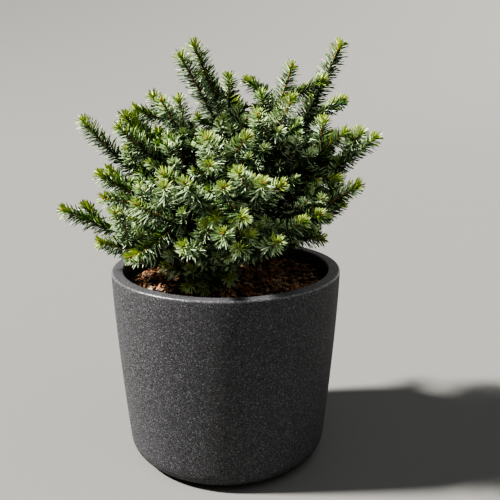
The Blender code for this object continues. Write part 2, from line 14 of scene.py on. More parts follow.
import bpy
import numpy as np
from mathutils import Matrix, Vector


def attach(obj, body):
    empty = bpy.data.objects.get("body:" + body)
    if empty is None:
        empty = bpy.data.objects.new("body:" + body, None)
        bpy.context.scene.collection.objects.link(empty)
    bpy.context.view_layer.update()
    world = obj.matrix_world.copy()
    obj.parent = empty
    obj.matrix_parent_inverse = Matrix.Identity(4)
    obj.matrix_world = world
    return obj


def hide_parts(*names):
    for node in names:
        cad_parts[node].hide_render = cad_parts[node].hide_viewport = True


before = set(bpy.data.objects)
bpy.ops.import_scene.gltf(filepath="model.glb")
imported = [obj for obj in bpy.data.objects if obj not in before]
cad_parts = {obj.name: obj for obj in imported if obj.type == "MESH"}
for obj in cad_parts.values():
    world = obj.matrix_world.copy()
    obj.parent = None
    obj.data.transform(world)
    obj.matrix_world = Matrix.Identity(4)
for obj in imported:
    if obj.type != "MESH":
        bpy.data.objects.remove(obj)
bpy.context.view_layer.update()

LOG = logging.getLogger("potted_spruce")
Colour = tuple[float, float, float]
Point = tuple[float, float, float]
Range = tuple[float, float]
# Degrees from one shoot or needle round its stem to the next
GOLDEN_TURN = 137.5
# The seed, and a factor for each kind of draw that a mass makes
SEED = 7
SIDE_DRAWS, TWIG_DRAWS, NEEDLE_DRAWS = 1000, 2000, 3000


# Lines

CURVE_POINTS = 41
STRETCH_POINTS = 25
SHORTEST = 1e-12


def unit(vectors: np.ndarray) -> np.ndarray:
    """The vectors, each divided by its own length."""
    return vectors / np.maximum(np.linalg.norm(vectors, axis=-1, keepdims=True), SHORTEST)


def direction(azimuth: float, rise: float) -> np.ndarray:
    """Unit vector at an azimuth from +X and a rise above the level, both in degrees."""
    turn, lift = math.radians(azimuth), math.radians(rise)
    return np.array([math.cos(lift) * math.cos(turn), math.cos(lift) * math.sin(turn), math.sin(lift)])


def swept_line(start: np.ndarray, leaving: np.ndarray, end: np.ndarray, handle: float) -> np.ndarray:
    """Points of a quadratic curve: (1-t)^2 start + 2t(1-t) knee + t^2 end.

    Args:
        start: The first point.
        leaving: The direction in which the curve leaves it.
        end: The last point.
        handle: How far along that direction the knee is, as a share of the straight distance.

    Returns:
        The points in rows.
    """
    knee = start + unit(leaving) * handle * np.linalg.norm(end - start)
    t = np.linspace(0, 1, CURVE_POINTS)[:, None]
    return (1 - t) ** 2 * start + 2 * t * (1 - t) * knee + t ** 2 * end


def distances_along(line: np.ndarray) -> np.ndarray:
    """Length of the line up to each of its points."""
    return np.concatenate([[0.0], np.cumsum(np.linalg.norm(np.diff(line, axis=0), axis=1))])


def points_along(line: np.ndarray, distances: np.ndarray) -> np.ndarray:
    """Points of the line at distances from its start."""
    measured = distances_along(line)
    return np.stack([np.interp(distances, measured, line[:, axis]) for axis in range(3)], axis=1)


def part_of(line: np.ndarray, start: float, end: float) -> np.ndarray:
    """The stretch of a line between two distances, as evenly spaced points."""
    return points_along(line, np.linspace(start, end, STRETCH_POINTS))


def frames_along(line: np.ndarray) -> tuple[np.ndarray, np.ndarray, np.ndarray]:
    """Frames that follow a line, from crosses with the axis least like its chord.

    Args:
        line: The line's points.

    Returns:
        The tangent, a direction across and a third square to both, at each point.
    """
    tangents = unit(np.gradient(line, axis=0))
    chord = np.abs(unit(line[-1] - line[0]))
    across = unit(np.cross(tangents, np.eye(3)[int(np.argmin(chord))]))
    return tangents, across, np.cross(tangents, across)


# Meshes

@dataclass
class Shell:
    """One surface: points, faces of four corners with -1 last in a triangle, and a material slot a face."""

    points: np.ndarray
    faces: np.ndarray
    slots: np.ndarray

    @classmethod
    def joined(cls, shells: list["Shell"]) -> "Shell":
        """All shells as one.

        Args:
            shells: The shells in order.

        Returns:
            One shell, in which each one's corners are counted on from those before it.
        """
        starts = np.cumsum([0] + [len(shell.points) for shell in shells[:-1]])
        faces = [np.where(shell.faces < 0, -1, shell.faces + start) for shell, start in zip(shells, starts)]
        return cls(np.concatenate([shell.points for shell in shells]), np.concatenate(faces),
                   np.concatenate([shell.slots for shell in shells]))

    def triangles(self) -> int:
        """How many triangles the faces make."""
        return int(np.sum(self.faces[:, 3] >= 0) + len(self.faces))


def closed_tube(rings: np.ndarray, first: np.ndarray, last: np.ndarray, slot: int = 0) -> Shell:
    """A closed surface through rings: quads between neighbours, and a fan to a pole at each end.

    Args:
        rings: Points as an array of ring by side by coordinate, each ring turning right-handed along the way.
        first: The pole before the first ring.
        last: The pole after the last ring.
        slot: The material slot of every face.

    Returns:
        The surface with its faces outwards.
    """
    count, sides = rings.shape[:2]
    here = np.arange(count * sides).reshape(count, sides)
    near = np.roll(here, -1, axis=1)
    walls = np.stack([here[:-1], near[:-1], near[1:], here[1:]], axis=2).reshape(-1, 4)
    low, high = count * sides, count * sides + 1
    foot = np.stack([near[0], here[0], np.full(sides, low), np.full(sides, -1)], axis=1)
    head = np.stack([here[-1], near[-1], np.full(sides, high), np.full(sides, -1)], axis=1)
    faces = np.concatenate([walls, foot, head])
    points = np.concatenate([rings.reshape(-1, 3), first[None], last[None]])
    return Shell(points, faces, np.full(len(faces), slot))


def carried_round(line: np.ndarray, radii: np.ndarray, sides: int, slot: int = 0) -> Shell:
    """A round profile carried along a line: middle + radius (across cos t + over sin t).

    Args:
        line: The middle line.
        radii: The radius at each of its points, or one for each point and side.
        sides: Corners of the round.
        slot: The material slot.

    Returns:
        The closed surface.
    """
    _, across, over = frames_along(line)
    turns = np.linspace(0, math.tau, sides, endpoint=False)
    reach = np.broadcast_to(radii.reshape(len(line), -1), (len(line), sides))
    outward = across[:, None] * np.cos(turns)[:, None] + over[:, None] * np.sin(turns)[:, None]
    rings = line[:, None] + outward * reach[:, :, None]
    return closed_tube(rings, line[0], line[-1], slot)


def turned_rings(profile: np.ndarray, segments: int) -> np.ndarray:
    """Rings about Z for a profile: radius cos t, radius sin t and height.

    Args:
        profile: Rows of radius and height.
        segments: Steps of the full turn.

    Returns:
        Points as an array of ring by side by coordinate.
    """
    turns = np.linspace(0, math.tau, segments, endpoint=False)
    radii, heights = profile[:, 0], profile[:, 1]
    return np.stack([radii[:, None] * np.cos(turns), radii[:, None] * np.sin(turns),
                     np.broadcast_to(heights[:, None], (len(radii), segments))], axis=2)


def turned_round(profile: np.ndarray, segments: int) -> Shell:
    """A profile of radius and height turned about Z, its first and last points being poles on the axis.

    Args:
        profile: Rows of radius and height, going round the section anticlockwise from the axis outwards.
        segments: Steps of the full turn.

    Returns:
        The closed surface with its faces outwards.
    """
    poles = [np.array([0.0, 0.0, height]) for height in profile[[0, -1], 1]]
    return closed_tube(turned_rings(profile[1:-1], segments), *poles)


def waves(first: np.ndarray, second: np.ndarray, table: tuple[tuple[float, float, float], ...]) -> np.ndarray:
    """Mean of sines of two parameters: sin(a first + b second + c) for each row a, b, c of the table."""
    return sum(np.sin(a * first + b * second + c) for a, b, c in table) / len(table)


def new_piece(name: str, shell: Shell, materials: list[bpy.types.Material],
              stands_for: tuple[str, ...] = (), smooth: bool = True) -> bpy.types.Object:
    """Put a surface in the scene as a piece that rides on the plant's one body.

    Args:
        name: The piece's name.
        shell: Its surface.
        materials: Its materials, in the order of the surface's slots.
        stands_for: The CAD nodes that it replaces.
        smooth: Whether its faces are shaded smooth.

    Returns:
        The new object.
    """
    mesh = bpy.data.meshes.new(name)
    sizes = np.where(shell.faces[:, 3] < 0, 3, 4)
    corners = shell.faces[shell.faces >= 0]
    mesh.vertices.add(len(shell.points))
    mesh.vertices.foreach_set("co", shell.points.astype(np.float32).ravel())
    mesh.loops.add(len(corners))
    mesh.loops.foreach_set("vertex_index", corners.astype(np.int32))
    mesh.polygons.add(len(sizes))
    mesh.polygons.foreach_set("loop_start", np.concatenate([[0], np.cumsum(sizes)[:-1]]).astype(np.int32))
    mesh.polygons.foreach_set("material_index", shell.slots.astype(np.int32))
    mesh.polygons.foreach_set("use_smooth", np.full(len(sizes), smooth))
    mesh.update(calc_edges=True)
    mesh.validate()
    for material in materials:
        mesh.materials.append(material)
    piece = bpy.data.objects.new(name, mesh)
    bpy.context.scene.collection.objects.link(piece)
    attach(piece, "root")
    if stands_for:
        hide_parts(*stands_for)
    LOG.info("%s: %d triangles", name, shell.triangles())
    return piece


# Finishes

SHADER = "Principled BSDF"


class Socket(Enum):
    """Kinds of a node group's sockets."""

    VECTOR = "NodeSocketVector"
    FLOAT = "NodeSocketFloat"
    COLOUR = "NodeSocketColor"


def new_group(name: str, inputs: dict[str, None | float | Colour],
              outputs: dict[str, Socket]) -> bpy.types.NodeTree:
    """An empty shader node group with named inputs and outputs.

    Args:
        name: The group's name.
        inputs: The default of each input: none for a vector, a number, or a colour.
        outputs: The kind of each output.

    Returns:
        The group, with its own input and output nodes named inputs and outputs.
    """
    group = bpy.data.node_groups.new(name, "ShaderNodeTree")
    for label, default in inputs.items():
        kind = Socket.COLOUR if isinstance(default, tuple) else Socket.FLOAT
        if default is None:
            kind = Socket.VECTOR
        socket = group.interface.new_socket(label, in_out="INPUT", socket_type=kind.value)
        if kind is Socket.COLOUR:
            socket.default_value = (*default, 1.0)
        elif kind is Socket.FLOAT:
            socket.default_value = default
    for label, kind in outputs.items():
        group.interface.new_socket(label, in_out="OUTPUT", socket_type=kind.value)
    group.nodes.new("NodeGroupInput").name = "inputs"
    group.nodes.new("NodeGroupOutput").name = "outputs"
    return group


def add_node(tree: bpy.types.NodeTree, name: str, kind: str, values: dict[str | int, object] | None = None,
             **settings: object) -> None:
    """Add a shader node.

    Args:
        tree: The tree that gets it.
        name: Its name in the tree.
        kind: Its type, without the leading ShaderNode.
        values: Values of its inputs, by name or number.
        **settings: Its own options.
    """
    node = tree.nodes.new("ShaderNode" + kind)
    node.name = name
    for label, value in settings.items():
        setattr(node, label, value)
    for label, value in (values or {}).items():
        node.inputs[label].default_value = value


def wire(tree: bpy.types.NodeTree, *routes: str) -> None:
    """Link nodes of a tree.

    Args:
        tree: The tree.
        *routes: Each link as node.output > node.input, each socket given by its name or its number.
    """
    for route in routes:
        ends = []
        for side, end in zip(("outputs", "inputs"), route.split(" > ")):
            name, label = end.split(".")
            ends.append(getattr(tree.nodes[name], side)[int(label) if label.isdigit() else label])
        tree.links.new(*ends)


class Effects:
    """The shader node groups that more than one finish uses, each built once."""

    def __init__(self) -> None:
        """Build every group."""
        self.tone_drift = self.build_tone_drift()
        self.grain = self.build_grain()
        self.fissures = self.build_fissures()

    def build_tone_drift(self) -> bpy.types.NodeTree:
        """Two colours mixed by a soft noise, and the noise itself as a mask.

        Returns:
            The group, whose mask is 0.5 + (noise - 0.5) times the contrast.
        """
        group = new_group(
            "tone_drift", {"Vector": None, "Scale": 40.0, "Contrast": 1.0,
                           "Dark": (0.1, 0.1, 0.1), "Light": (0.3, 0.3, 0.3)},
            {"Colour": Socket.COLOUR, "Mask": Socket.FLOAT})
        add_node(group, "noise", "TexNoise", {"Detail": 4.0, "Roughness": 0.6})
        add_node(group, "centred", "Math", {1: 0.5}, operation="SUBTRACT")
        add_node(group, "scaled", "Math", operation="MULTIPLY")
        add_node(group, "mask", "Math", {1: 0.5}, operation="ADD", use_clamp=True)
        add_node(group, "mix", "Mix", data_type="RGBA")
        wire(group, "inputs.Vector > noise.Vector", "inputs.Scale > noise.Scale", "noise.Fac > centred.0",
             "centred.0 > scaled.0", "inputs.Contrast > scaled.1", "scaled.0 > mask.0", "mask.0 > mix.Factor",
             "inputs.Dark > mix.6", "inputs.Light > mix.7", "mix.2 > outputs.Colour", "mask.0 > outputs.Mask")
        return group

    def build_grain(self) -> bpy.types.NodeTree:
        """Mineral grain: a rough noise, lighter on its high parts as painted light and darker in its low
        parts as painted shade, and soft light specks and dark pits in the middle of some cells.

        Returns:
            The group, whose height is the noise, raised by the specks and lowered by the pits; its light
            output also holds the painted light on the noise's high parts, and its dark output the painted
            shade in its low parts.
        """
        group = new_group(
            "mineral_grain", {"Vector": None, "Scale": 500.0, "Share": 0.12},
            {"Specks": Socket.FLOAT, "Pits": Socket.FLOAT, "Height": Socket.FLOAT})
        add_node(group, "cells", "TexVoronoi", {"Randomness": 1.0}, feature="F1")
        add_node(group, "value", "SeparateColor")
        add_node(group, "rough", "TexNoise", {"Detail": 3.0, "Roughness": 0.7})
        # The first map lightens the rough noise's high parts, as painted light, and the second darkens its
        # low parts, as painted shade
        for name, low, high, first, last in (("sand", 0.50, 0.72, 0.0, 0.80), ("dust", 0.50, 0.28, 0.0, 0.95),
                                             ("spot", 0.35, 0.70, 1.0, 0.0)):
            add_node(group, name, "MapRange",
                     {"From Min": low, "From Max": high, "To Min": first, "To Max": last})
        add_node(group, "above", "Math", {0: 1.0}, operation="SUBTRACT")
        for name, operation in (("bright", "GREATER_THAN"), ("deep", "LESS_THAN"),
                                ("bright_spot", "MULTIPLY"), ("deep_spot", "MULTIPLY"),
                                ("specks", "MAXIMUM"), ("pits", "MAXIMUM"),
                                ("lifted", "ADD"), ("height", "SUBTRACT")):
            add_node(group, name, "Math", operation=operation)
        wire(group, "inputs.Vector > cells.Vector", "inputs.Scale > cells.Scale",
             "inputs.Vector > rough.Vector", "inputs.Scale > rough.Scale", "cells.Color > value.Color",
             "inputs.Share > above.1", "value.Red > bright.0", "above.0 > bright.1",
             "value.Green > deep.0", "inputs.Share > deep.1", "cells.Distance > spot.Value",
             "rough.Fac > sand.Value", "rough.Fac > dust.Value",
             "bright.0 > bright_spot.0", "spot.Result > bright_spot.1",
             "deep.0 > deep_spot.0", "spot.Result > deep_spot.1",
             "bright_spot.0 > specks.0", "sand.Result > specks.1",
             "deep_spot.0 > pits.0", "dust.Result > pits.1",
             "rough.Fac > lifted.0", "specks.0 > lifted.1", "lifted.0 > height.0", "pits.0 > height.1",
             "specks.0 > outputs.Specks", "pits.0 > outputs.Pits", "height.0 > outputs.Height")
        return group

    def build_fissures(self) -> bpy.types.NodeTree:
        """Woody cracks: the distance to the edges of cells, whose places a noise moves a little.

        Returns:
            The group, whose mask is dark in the cracks, and whose height adds a finer noise to it.
        """
        group = new_group("woody_fissures", {"Vector": None, "Scale": 160.0, "Width": 0.12},
                          {"Mask": Socket.FLOAT, "Height": Socket.FLOAT})
        add_node(group, "warp", "TexNoise", {"Scale": 120.0, "Detail": 2.0})
        add_node(group, "moved", "VectorMath", {3: 0.006}, operation="SCALE")
        add_node(group, "place", "VectorMath", operation="ADD")
        add_node(group, "cells", "TexVoronoi", feature="DISTANCE_TO_EDGE")
        add_node(group, "wide", "MapRange", {"From Min": 0.0, "To Min": 0.0, "To Max": 1.0})
        add_node(group, "fine", "TexNoise", {"Scale": 900.0, "Detail": 3.0})
        add_node(group, "small", "Math", {1: 0.4}, operation="MULTIPLY")
        add_node(group, "height", "Math", operation="ADD")
        wire(group, "inputs.Vector > warp.Vector", "warp.Color > moved.0", "moved.0 > place.0",
             "inputs.Vector > place.1", "place.0 > cells.Vector", "inputs.Scale > cells.Scale",
             "cells.Distance > wide.Value", "inputs.Width > wide.From Max", "inputs.Vector > fine.Vector",
             "fine.Fac > small.0", "wide.Result > height.0", "small.0 > height.1",
             "wide.Result > outputs.Mask", "height.0 > outputs.Height")
        return group


@dataclass(frozen=True)
class PlainFinish:
    """A finish of one colour, for needles, twigs, buds and the studio's floor."""

    name: str
    colour: Colour
    roughness: float
    shine: float = 0.5

    def material(self) -> bpy.types.Material:
        """The material.

        Returns:
            A new material with a Principled shader.
        """
        made = bpy.data.materials.new(self.name)
        made.use_nodes = True
        shader = made.node_tree.nodes[SHADER]
        shader.inputs["Base Color"].default_value = (*self.colour, 1.0)
        shader.inputs["Roughness"].default_value = self.roughness
        shader.inputs["Specular IOR Level"].default_value = self.shine
        return made


@dataclass(frozen=True)
class ReliefFinish:
    """What the uneven finishes share: two tones that drift into each other, a roughness, and a bump's
    strength and depth."""

    name: str
    dark: Colour
    light: Colour
    roughness: float
    bump: float
    bump_depth: float

    def started(self, effects: Effects, drift_scale: float, contrast: float) -> bpy.types.Material:
        """Start the material on Object coordinates; its colour and the bump's height are still to be wired.

        Args:
            effects: The node groups.
            drift_scale: Scale of the drift between the tones.
            contrast: How sharply one tone gives way to the other.

        Returns:
            The material, with nodes named place, drift and bump.
        """
        made = bpy.data.materials.new(self.name)
        made.use_nodes = True
        tree = made.node_tree
        tones = {"Dark": (*self.dark, 1.0), "Light": (*self.light, 1.0)}
        add_node(tree, "place", "TexCoord")
        add_node(tree, "drift", "Group", {"Scale": drift_scale, "Contrast": contrast} | tones,
                 node_tree=effects.tone_drift)
        add_node(tree, "bump", "Bump", {"Strength": self.bump, "Distance": self.bump_depth})
        wire(tree, "place.Object > drift.Vector", f"bump.Normal > {SHADER}.Normal")
        tree.nodes[SHADER].inputs["Roughness"].default_value = self.roughness
        return made


@dataclass(frozen=True)
class CompositeFinish(ReliefFinish):
    """Stone composite: a drifting grey with light specks and dark pits, each in a share of the grain's cells,
    and a fine rough height, whose high parts take the speck colour as painted light and whose low parts take
    the pit colour as painted shade."""

    speck_and_highlight: Colour
    pit: Colour
    grain_scale: float
    share: float
    drift_scale: float = 14.0
    contrast: float = 1.6

    def material(self, effects: Effects) -> bpy.types.Material:
        """The material: specks and the painted light of the high grain, then pits and the painted shade of
        the low grain, laid over the drifting tones.

        Args:
            effects: The node groups.

        Returns:
            A new material with a Principled shader.
        """
        made = self.started(effects, self.drift_scale, self.contrast)
        tree = made.node_tree
        add_node(tree, "grain", "Group", {"Scale": self.grain_scale, "Share": self.share},
                 node_tree=effects.grain)
        # The speck colour over the high grain is painted light, and the pit colour over the low grain is
        # painted shade
        add_node(tree, "specked", "Mix", {7: (*self.speck_and_highlight, 1.0)}, data_type="RGBA")
        add_node(tree, "pitted", "Mix", {7: (*self.pit, 1.0)}, data_type="RGBA")
        wire(tree, "place.Object > grain.Vector", "grain.Specks > specked.Factor", "drift.Colour > specked.6",
             "grain.Pits > pitted.Factor", "specked.2 > pitted.6", f"pitted.2 > {SHADER}.Base Color",
             "grain.Height > bump.Height")
        return made


@dataclass(frozen=True)
class WoodyFinish(ReliefFinish):
    """Bark, chips and soil: two drifting browns, darker in the cracks, over a cracked height."""

    crack: Colour
    drift_scale: float
    crack_scale: float
    crack_width: float
    stretch: Point = (1.0, 1.0, 0.35)
    contrast: float = 2.4

    def material(self, effects: Effects) -> bpy.types.Material:
        """The material: cracks laid over the drifting tones, their places scaled so that they run along Z.

        Args:
            effects: The node groups.

        Returns:
            A new material with a Principled shader.
        """
        made = self.started(effects, self.drift_scale, self.contrast)
        tree = made.node_tree
        add_node(tree, "stretched", "Mapping", {"Scale": self.stretch})
        add_node(tree, "cracks", "Group", {"Scale": self.crack_scale, "Width": self.crack_width},
                 node_tree=effects.fissures)
        add_node(tree, "cracked", "Mix", {6: (*self.crack, 1.0)}, data_type="RGBA")
        wire(tree, "place.Object > stretched.Vector", "stretched.Vector > cracks.Vector",
             "cracks.Mask > cracked.Factor", "drift.Colour > cracked.7", f"cracked.2 > {SHADER}.Base Color",
             "cracks.Height > bump.Height")
        return made


# Planter

@dataclass
class Planter:
    """The round planter: a swelling wall, a flat rim with a round edge, a round foot and a flat base."""

    radius: float = 0.180
    height: float = 0.308
    wall: float = 0.018
    floor: float = 0.024
    ground_radius: float = 0.157
    swell: float = 1.4
    # The height over which the wall's slope is measured
    slope_step: float = 0.01
    foot_round: float = 0.034
    rim_round: float = 0.003
    inner_round: float = 0.020
    # The rim's inner edge: where it leaves the flat, a point between, and the first height on the inner wall
    lip: float = 0.0015
    lip_middle: Range = (0.0005, 0.0004)
    below_lip: float = 0.003
    # Steps of the section: foot, wall, outer edge, flat of the rim, inner wall and inner foot
    foot_steps: int = 20
    wall_steps: int = 21
    edge_steps: int = 6
    flat_steps: int = 4
    down_steps: int = 13
    inner_steps: int = 8
    segments: int = 192
    # How far down the rim's finish reaches, and how far in its edge's, as shares of the rim's rounding
    rim_reach: float = 1.05
    edge_reach: float = 0.72
    wall_finish: CompositeFinish = CompositeFinish(
        "planter_wall", (0.038, 0.039, 0.044), (0.048, 0.049, 0.055), 0.64, 0.40, 0.0010,
        (0.165, 0.167, 0.178), (0.008, 0.008, 0.010), 540.0, 0.14)
    rim_finish: CompositeFinish = CompositeFinish(
        "planter_rim", (0.050, 0.051, 0.059), (0.078, 0.080, 0.091), 0.45, 0.35, 0.0006,
        (0.200, 0.202, 0.212), (0.022, 0.022, 0.025), 640.0, 0.12)
    # The outer edge's lighter tones and brighter specks are painted highlight along the rounded edge; its low
    # roughness gives a real one
    highlight_edge_finish: CompositeFinish = CompositeFinish(
        "planter_rim_edge_painted_highlight", (0.066, 0.067, 0.075), (0.100, 0.102, 0.112), 0.25, 0.20, 0.0004,
        (0.300, 0.300, 0.310), (0.030, 0.030, 0.034), 640.0, 0.12)

    def wall_radius(self, heights: np.ndarray) -> np.ndarray:
        """Outer radius: from the ground's towards the rim's as 1 - (1 - height share)^swell."""
        share = 1 - (1 - np.asarray(heights) / self.height) ** self.swell
        return self.ground_radius + (self.radius - self.ground_radius) * share

    def round_foot(self, floor: float, rounding: float, inset: float, steps: int) -> np.ndarray:
        """Points of an arc that meets the floor level and the wall on its slope.

        Args:
            floor: Height of the floor.
            rounding: Radius of the arc.
            inset: How far inside the outer wall the wall stands.
            steps: Steps of the arc.

        Returns:
            Rows of radius and height, from the floor up.
        """
        climb = self.wall_radius(rounding + self.slope_step) - self.wall_radius(rounding)
        lean = math.atan(float(climb) / self.slope_step)
        tangent_height = floor + rounding * (1 - math.sin(lean))
        middle = float(self.wall_radius(tangent_height)) - inset - rounding * math.cos(lean)
        turns = np.linspace(-math.pi / 2, -lean, steps + 1)
        return np.stack([middle + rounding * np.cos(turns),
                         floor + rounding + rounding * np.sin(turns)], axis=1)

    def section(self) -> np.ndarray:
        """The section of the whole shell.

        Returns:
            Rows of radius and height from the underside's middle, up outside, over the rim and down inside.
        """
        foot = self.round_foot(0.0, self.foot_round, 0.0, self.foot_steps)
        heights = np.linspace(foot[-1, 1], self.height - self.rim_round, self.wall_steps + 1)[1:]
        wall = np.stack([self.wall_radius(heights), heights], axis=1)
        turns = np.linspace(0, math.pi / 2, self.edge_steps + 1)[1:]
        edge = np.stack([wall[-1, 0] - self.rim_round * (1 - np.cos(turns)),
                         self.height - self.rim_round * (1 - np.sin(turns))], axis=1)
        inner_edge = float(self.wall_radius(self.height)) - self.wall
        flat = np.stack([np.linspace(edge[-1, 0], inner_edge + self.lip, self.flat_steps + 1)[1:],
                         np.full(self.flat_steps, self.height)], axis=1)
        lip = np.array([[inner_edge + self.lip_middle[0], self.height - self.lip_middle[1]],
                        [inner_edge, self.height - self.lip]])
        inside = self.round_foot(self.floor, self.inner_round, self.wall, self.inner_steps)
        falls = np.linspace(self.height - self.below_lip, inside[-1, 1], self.down_steps + 1)[:-1]
        down = np.stack([self.wall_radius(falls) - self.wall, falls], axis=1)
        first, last = [[0.0, 0.0]], [[0.0, self.floor]]
        return np.concatenate([first, foot, wall, edge, flat, lip, down, inside[::-1], last])

    def build(self, effects: Effects) -> bpy.types.Object:
        """Turn the section, and give the flat of the rim, and its outer edge with lighter tones and specks as
        painted highlight, finishes of their own.

        Args:
            effects: The node groups.

        Returns:
            The piece.
        """
        shell = turned_round(self.section(), self.segments)
        corners = shell.points[np.where(shell.faces < 0, shell.faces[:, :1], shell.faces)]
        spans = np.hypot(corners[:, :, 0], corners[:, :, 1])
        on_rim = corners[:, :, 2].min(axis=1) > self.height - self.rim_round * self.rim_reach
        on_edge = spans.max(axis=1) > self.radius - self.rim_round * self.edge_reach
        shell.slots = on_rim.astype(int) + (on_rim & on_edge)
        finishes = (self.wall_finish, self.rim_finish, self.highlight_edge_finish)
        return new_piece("planter_shell", shell, [finish.material(effects) for finish in finishes],
                         ("planter",))


# Mulch

EVEN = (1.0, 1.0, 1.0)
CHIP_CORNERS = 6
# Two faces for the upper outline of a chip and two for the lower one, whose corners come first
CHIP_CAPS = ((6, 7, 8, 9), (6, 9, 10, 11), (3, 2, 1, 0), (5, 4, 3, 0))
# Turns in radians a metre, in x and in y, and a shift
LUMPS = ((310, 120, 0), (-170, 340, 1), (420, -260, 2), (90, 510, 3), (530, 310, 4))


@dataclass(frozen=True)
class ChipRule:
    """How bark chips come out: metres, degrees, and shares of a chip's own length, width or reach."""

    count: int = 4600
    trunk_clear: float = 0.021
    rim_clear: float = 0.006
    wall_clear: float = 0.0015
    least_reach: float = 0.001
    lengths: Range = (0.0026, 0.0150)
    length_skew: float = 2.4
    grit_extra: float = 0.0008
    stick_share: float = 0.22
    stick_stretch: float = 1.5
    stick_extra: float = 0.002
    stick_widths: Range = (0.10, 0.20)
    widths: Range = (0.40, 0.80)
    stick_thickness: float = 0.8
    thicknesses: Range = (0.12, 0.30)
    thickness_limits: Range = (0.0009, 0.0030)
    tilt: float = 22.0
    steepest: float = 65.0
    tilt_lift: float = 0.45
    lift: float = 0.4
    piled: float = 0.0022
    corner_stray: float = 0.3
    unevenness: Range = (0.72, 1.0)
    upper_share: float = 0.86
    bend: float = 0.18
    kind_shares: tuple[float, float, float, float] = (0.42, 0.37, 0.16, 0.05)


